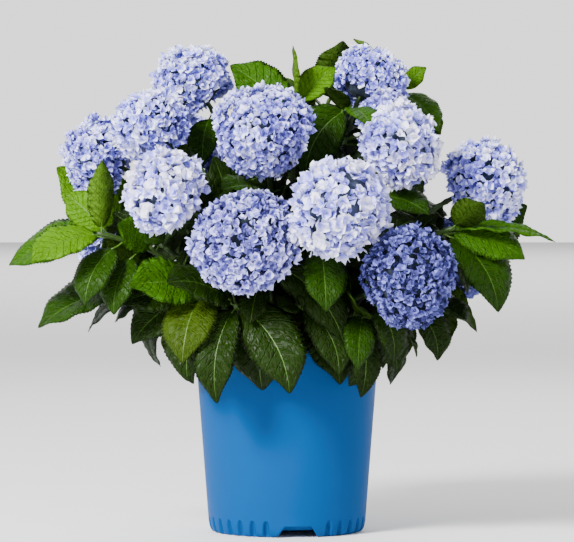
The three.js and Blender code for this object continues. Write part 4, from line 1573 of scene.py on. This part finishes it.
@dataclass
class NurseryPot:
    """A two-gallon nursery pot: a tapered wall, a rolled lip, and short flutes and notches at its heel."""

    height: float = 220
    lip_height: float = 9
    shoulder: float = 108.9
    heel: float = 93.8
    heel_height: float = 13
    wall: float = 2.2
    steps: int = 720
    floor: float = 11  # the top of its floor
    foot: tuple[float, float] = (83.5, 86.5)  # radii between which the foot's flat ring lies
    pressed_height: float = 20  # below which flutes and notches are
    notches: int = 3
    first_notch: float = -81.8  # degrees
    notch_widths: tuple[float, float] = (48, 32)
    notch_height: float = 12.5
    notch_turn: float = 30  # degrees either side that a notch may reach
    flutes: int = 8  # between two notches
    flute_start: float = 23.4
    flute_pitch: float = 10.46
    flute_size: tuple[float, float, float] = (4.0, 5.0, 16)  # half width, depth, height
    flute_foot: float = 3  # height up to which it is deepest
    mix_top: float = 195
    gap: float = 0.5  # round the mix
    chips: int = 420

    def outside(self, height: float) -> float:
        """Outside radius of the wall at a height."""
        share = (height - self.heel_height) / (self.height - self.lip_height - self.heel_height)
        return self.heel + (self.shoulder - self.heel) * share

    def profile(self) -> list[tuple[float, float]]:
        """The pot's section.

        Returns:
            Its corners as radius and height, from the middle of the floor up inside and down outside.
        """
        under = self.height - self.lip_height
        inside = [(self.outside(z) - self.wall, z) for z in (22, *range(50, 210, 32), under)]
        inside = [(0, self.floor), (40, self.floor), (78, self.floor), (82, 13), *inside]
        lip = [(107.3, 219), (107.9, 219.8), (109.2, 220), (111, 220), (112.1, 219.6), (112.5, 218.6),
               (112.5, 212.2), (112.1, 211.3), (111.2, 211)]
        lip += [(self.shoulder + 0.9, 211), (self.shoulder + 0.1, 210.4)]
        outside = [(self.outside(z), z) for z in (*np.linspace(210, 22, 7), 20, 19, 18, 17, 16)]
        heel = [(93.95, 15), (93.9, 14), (93.7, 12), (93.3, 10), (92.7, 7), (92.0, 4.6), (90.9, 2.4),
                (89.6, 1), (88.2, 0.3), (86.8, 0), (84.4, 0), (84, 0.4), (84, 8), (83, 8), (50, 8), (14, 8),
                (12, 7.4), (12, 0.5), (11.5, 0), (0, 0)]
        return inside + lip + outside + heel

    def pressed(self, x: float, y: float, z: float) -> Vector:
        """Where a corner of the heel goes when the notches and flutes are pressed in.

        Args:
            x: the corner, in millimetres.
            y: the same.
            z: the same.

        Returns:
            Its new place.
        """
        radius, angle = math.hypot(x, y), math.atan2(y, x)
        sector = 360 / self.notches
        turn = (math.degrees(angle) - self.first_notch) % sector
        off = min(turn, sector - turn)
        if off < self.notch_turn:
            wide, narrow = self.notch_widths
            share = (wide - 2 * radius * math.sin(math.radians(off))) / (wide - narrow)
            z = max(z, clamp(share, 0, 1) * self.notch_height)
        nearest = clamp(round((turn - self.flute_start) / self.flute_pitch), 0, self.flutes - 1)
        away = self.heel * math.radians(abs(turn - self.flute_start - nearest * self.flute_pitch))
        width, depth, tall = self.flute_size
        press = 1 - (away / width) ** 2 - max((z - self.flute_foot) / tall, 0) ** 3
        if press > 0 and radius > self.foot[1]:
            radius = max(radius - depth * press**0.6, self.foot[1])
        return Vector((radius * math.cos(angle), radius * math.sin(angle), z))

    def build(self, finishes: "Palette") -> None:
        """Spins the shell, presses its heel and fills it.

        Args:
            finishes: the materials.
        """
        bm = lathe(self.profile(), self.steps)
        for vert in bm.verts:
            x, y, z = vert.co / MM
            if z <= self.pressed_height and math.hypot(x, y) >= self.foot[0]:
                vert.co = self.pressed(x, y, z) * MM
        bmesh.ops.remove_doubles(bm, verts=bm.verts, dist=1e-6)
        publish(emit(bm, "pot_shell", [finishes.plastic]), ["pot"])
        self.fill(finishes)
        self.strew(finishes)

    def fill(self, finishes: "Palette") -> None:
        """Makes the potting mix, a plug with a crumbly top that fills the pot.

        Args:
            finishes: the materials.
        """
        low, rim = (self.outside(z) - self.wall - self.gap for z in (24, self.mix_top))
        bottom = self.floor + self.gap
        top = [(r, self.mix_top) for r in np.linspace(rim, 0, 26)]
        bm = lathe([(0, bottom), (77, bottom), (low - 1, 24), *top], 120)
        for vert in bm.verts:
            x, y, z = vert.co / MM
            away = math.hypot(x, y)
            if z > self.mix_top - 1 and away < rim - 1:
                rough = math.sin(x * 0.21) * math.cos(y * 0.17)
                rough += 0.7 * math.sin(x * 0.9 + 2) * math.sin(y * 0.8)
                under_crown = 1.2 if away < 50 else 0.0
                vert.co.z += (0.7 * rough - under_crown - 0.6) * MM
        publish(emit(bm, "potting_mix_plug", [finishes.mix]), ["potting_mix"])

    def strew(self, finishes: "Palette") -> None:
        """Strews flat splinters of composted bark on the mix, outside the crown.

        Args:
            finishes: the materials.
        """
        seed = np.random.default_rng(7)
        bm = bmesh.new()
        bmesh.ops.create_cube(bm, size=2)
        bmesh.ops.bevel(
            bm, geom=bm.edges, offset=0.25, affect="EDGES", segments=1, profile=0.5, material=-1
        )
        chip = Template.of(bm)
        piece = Gathering("bark_chips", [finishes.chip, finishes.mix])
        for _ in range(self.chips):
            radius, turn = 48 + 50 * seed.random() ** 0.7, seed.random() * 2 * math.pi
            size = np.array([2 + 4 * seed.random(), 1.2 + 1.6 * seed.random(), 0.5 + 0.7 * seed.random()])
            aim = unit(np.array([*(seed.normal(size=2) * 0.25), 1.0]))
            basis = axes(aim, seed.normal(size=3))
            middle = np.array([radius * math.cos(turn), radius * math.sin(turn), self.mix_top + 0.4])
            piece.take(chip, (chip.places * size) @ basis.T + middle, int(seed.random() < 0.4))
        piece.build("bark_mix", ["potting_mix"])


# ---------------------------------------------------------------- palette and studio


class Palette:
    """All the plant's finishes, and the slots that the joined pieces know them by."""

    def __init__(self) -> None:
        """Makes the materials, each named for what the real one is."""
        # An even, slightly glossy blue skin.
        self.plastic = MouldedPlastic("polypropylene_blue", 0x004480, 0x004178).make()
        # Dark crumbs with no shine, and lighter flat splinters on them.
        self.mix = Tissue("composted_bark_fines", 0x241A12, 0x130D08, 0.95, 2.2, 0.8).make()
        self.chip = Tissue("bark_chip", 0x40301F, 0x271C12, 0.85, 1.5, 0.4, (1, 1, 3)).make()
        # Grain that runs up the limb: dry and brown when woody, smooth and green when young.
        self.bark = Tissue("hydrangea_cane_bark", 0x6A5636, 0x42341F, 0.85, 1.6, 0.5, (1, 1, 0.3)).make()
        # The stems' green is darker than their own colour, as painted shade for stems that stand inside the
        # crown.
        self.stem = Tissue("shaded_green_stem", 0x2E4A10, 0x22380C, 0.5, 1.2, 0.1, (1, 1, 0.3)).make()
        self.rib = Tissue("leaf_midrib", 0x446818, 0x365812, 0.5, 1.0, 0.1).make()
        # Leaves from fresh and soft to old and shaded, in the order of Tone, and then their two undersides.
        blades = [
            LeafBlade("leaf_young", 0x487200, 0x3C6200, 0x4E8008, 0.5, 0.1),
            LeafBlade("leaf_light", 0x305400, 0x264600, 0x2C5C04, 0.44, 0.1),
            LeafBlade("leaf_mid", 0x1D3500, 0x172B00, 0x224C06, 0.4, 0.1),
            LeafBlade("leaf_deep", 0x152500, 0x101C00, 0x1C3A08, 0.38, 0.1),
            LeafBlade("leaf_shaded", 0x112000, 0x0D1800, 0x162E06, 0.42),
            LeafBlade("leaf_olive", 0x283A00, 0x1F3000, 0x486018, 0.46),
            LeafBlade("leaf_underside_pale", 0x466810, 0x3B5A0C, 0x587828, 0.62, 0.06),
            LeafBlade("leaf_underside_dull", 0x2A420A, 0x223808, 0x3C5416, 0.62, 0.06),
        ]
        self.leaf_materials = [blade.make() for blade in blades] + [self.rib]
        self.rib_slot = len(blades)
        # Papery sepals, a little deeper in patches, with a waxy bead in the middle, and behind them a core of
        # stalks and buds painted dark as the shade between the florets.
        self.sepal_materials = [self.sepal(tint, step) for tint in Tint for step in range(SEPAL_STEPS)]
        self.bead_slot = len(self.sepal_materials)
        self.sepal_materials.append(Tissue("floret_bead", 0xB9BFF2, 0x8F93DC, 0.5, 1.0, 0.05).make())
        self.heart_shade_materials = [
            Tissue(f"bloom_shade_heart_{t.name.lower()}", t.value[-1], 0x243038, 0.9, 3.0, 0.8).make() for t in Tint
        ]

    @staticmethod
    def sepal(tint: Tint, step: int) -> bpy.types.Material:
        """A sepal whose patches lie three tenths of the way to the next deeper colour.

        Args:
            tint: the bloom's blue.
            step: from pale, 0, to deep.

        Returns:
            The material.
        """
        colour, deeper = tint.value[step], tint.value[min(step + 1, SEPAL_STEPS - 1)]
        patch = sum(round((colour >> k & 255) * 0.7 + (deeper >> k & 255) * 0.3) << k for k in (16, 8, 0))
        return Tissue(f"sepal_{tint.name.lower()}_{step}", colour, patch, 0.65, 2.0, 0.12).make()

    def under_slot(self, tone: Tone) -> int:
        """The slot of the underside of a leaf of some tone."""
        # The darker underside goes with every tone past LIGHT, so it also carries the painted shade of the
        # deep and shaded leaves.
        return self.rib_slot - (2 if tone <= Tone.LIGHT else 1)

    @staticmethod
    def sepal_slot(tint: Tint, step: int) -> int:
        """The slot of a bloom's sepals at a step from pale to deep."""
        return list(Tint).index(tint) * SEPAL_STEPS + step


@dataclass
class Studio:
    """A plain pale floor, soft lights and the camera."""

    camera: tuple[float, float, float] = (0.0, -4.0, 0.39)
    down: float = 1.15  # degrees
    lens: float = 210.3
    floor_radius: float = 30.0
    aim: tuple[float, float, float] = (0.0, 0.0, 0.35)

    def build(self) -> None:
        """Makes the floor, the lights, the world and the camera."""
        bm = bmesh.new()
        bmesh.ops.create_circle(bm, cap_ends=True, segments=96, radius=self.floor_radius)
        bmesh.ops.translate(bm, verts=bm.verts, vec=(0, 0, -0.5 * MM))
        floor = emit(bm, "floor", [FloorPaint("pale_floor").make()])
        self.light("key", (-2.2, -2.8, 2.5), self.aim, (1.2, 1.2), 510)
        self.light("fill", (2.6, -2.4, 1.4), self.aim, (2.6, 2.6), 20)
        self.light("back", (0.6, 2.6, 2.6), self.aim, (2.0, 2.0), 50)
        self.light("over_floor", (0, 15, 7), (0, 15, 0), (26, 16), 2100)
        self.world()
        data = bpy.data.cameras.new("camera")
        data.lens, data.sensor_width, data.sensor_fit, data.clip_end = self.lens, 36, "HORIZONTAL", 100
        camera = bpy.data.objects.new("camera", data)
        camera.location = self.camera
        camera.rotation_euler = (math.radians(90 - self.down), 0, 0)
        bpy.context.scene.collection.objects.link(camera)
        bpy.context.scene.camera = camera

    @staticmethod
    def world() -> None:
        """Makes an even white surround that is brighter near the floor, as a lit studio's walls are."""
        world = bpy.data.worlds.new("studio")
        world.use_nodes = True
        tree = world.node_tree
        split = add(tree, "SeparateXYZ", {0: add(tree, "TexCoord").outputs["Generated"]})
        glow = add(
            tree, "MapRange",
            {"Value": split.outputs[2], "From Min": 0.1, "From Max": 0.5, "To Min": 1.7, "To Max": 0.5},
            interpolation_type="SMOOTHSTEP",
        )
        feed(tree.nodes["Background"], {"Color": (1, 1, 1, 1), "Strength": glow})
        bpy.context.scene.world = world

    @staticmethod
    def light(
        name: str, at: Sequence[float], aim: Sequence[float], size: tuple[float, float], power: float
    ) -> None:
        """Adds an oblong soft light.

        Args:
            name: its name.
            at: where it hangs, in metres.
            aim: the point that it faces.
            size: its width and height, in metres.
            power: its power in watts.
        """
        data = bpy.data.lights.new(name, "AREA")
        data.shape, data.size, data.size_y, data.energy = "RECTANGLE", *size, power
        lamp = bpy.data.objects.new(name, data)
        lamp.location = at
        lamp.rotation_euler = (Vector(at) - Vector(aim)).to_track_quat("Z", "Y").to_euler()
        bpy.context.scene.collection.objects.link(lamp)


def main() -> None:
    """Builds the studio, the pot and the plant."""
    logging.basicConfig(level=logging.INFO, format="%(name)s %(message)s")
    Studio().build()
    finishes = Palette()
    plan = Plan(SHOOTS)
    log.info("%d shoots, %d leaves", len(plan.shoots), len(plan.leaves))
    NurseryPot().build(finishes)
    Limbs().build(plan, finishes)
    Foliage().build(plan, finishes)
    Blossom().build(plan, finishes)


if __name__ == "__main__":
    main()
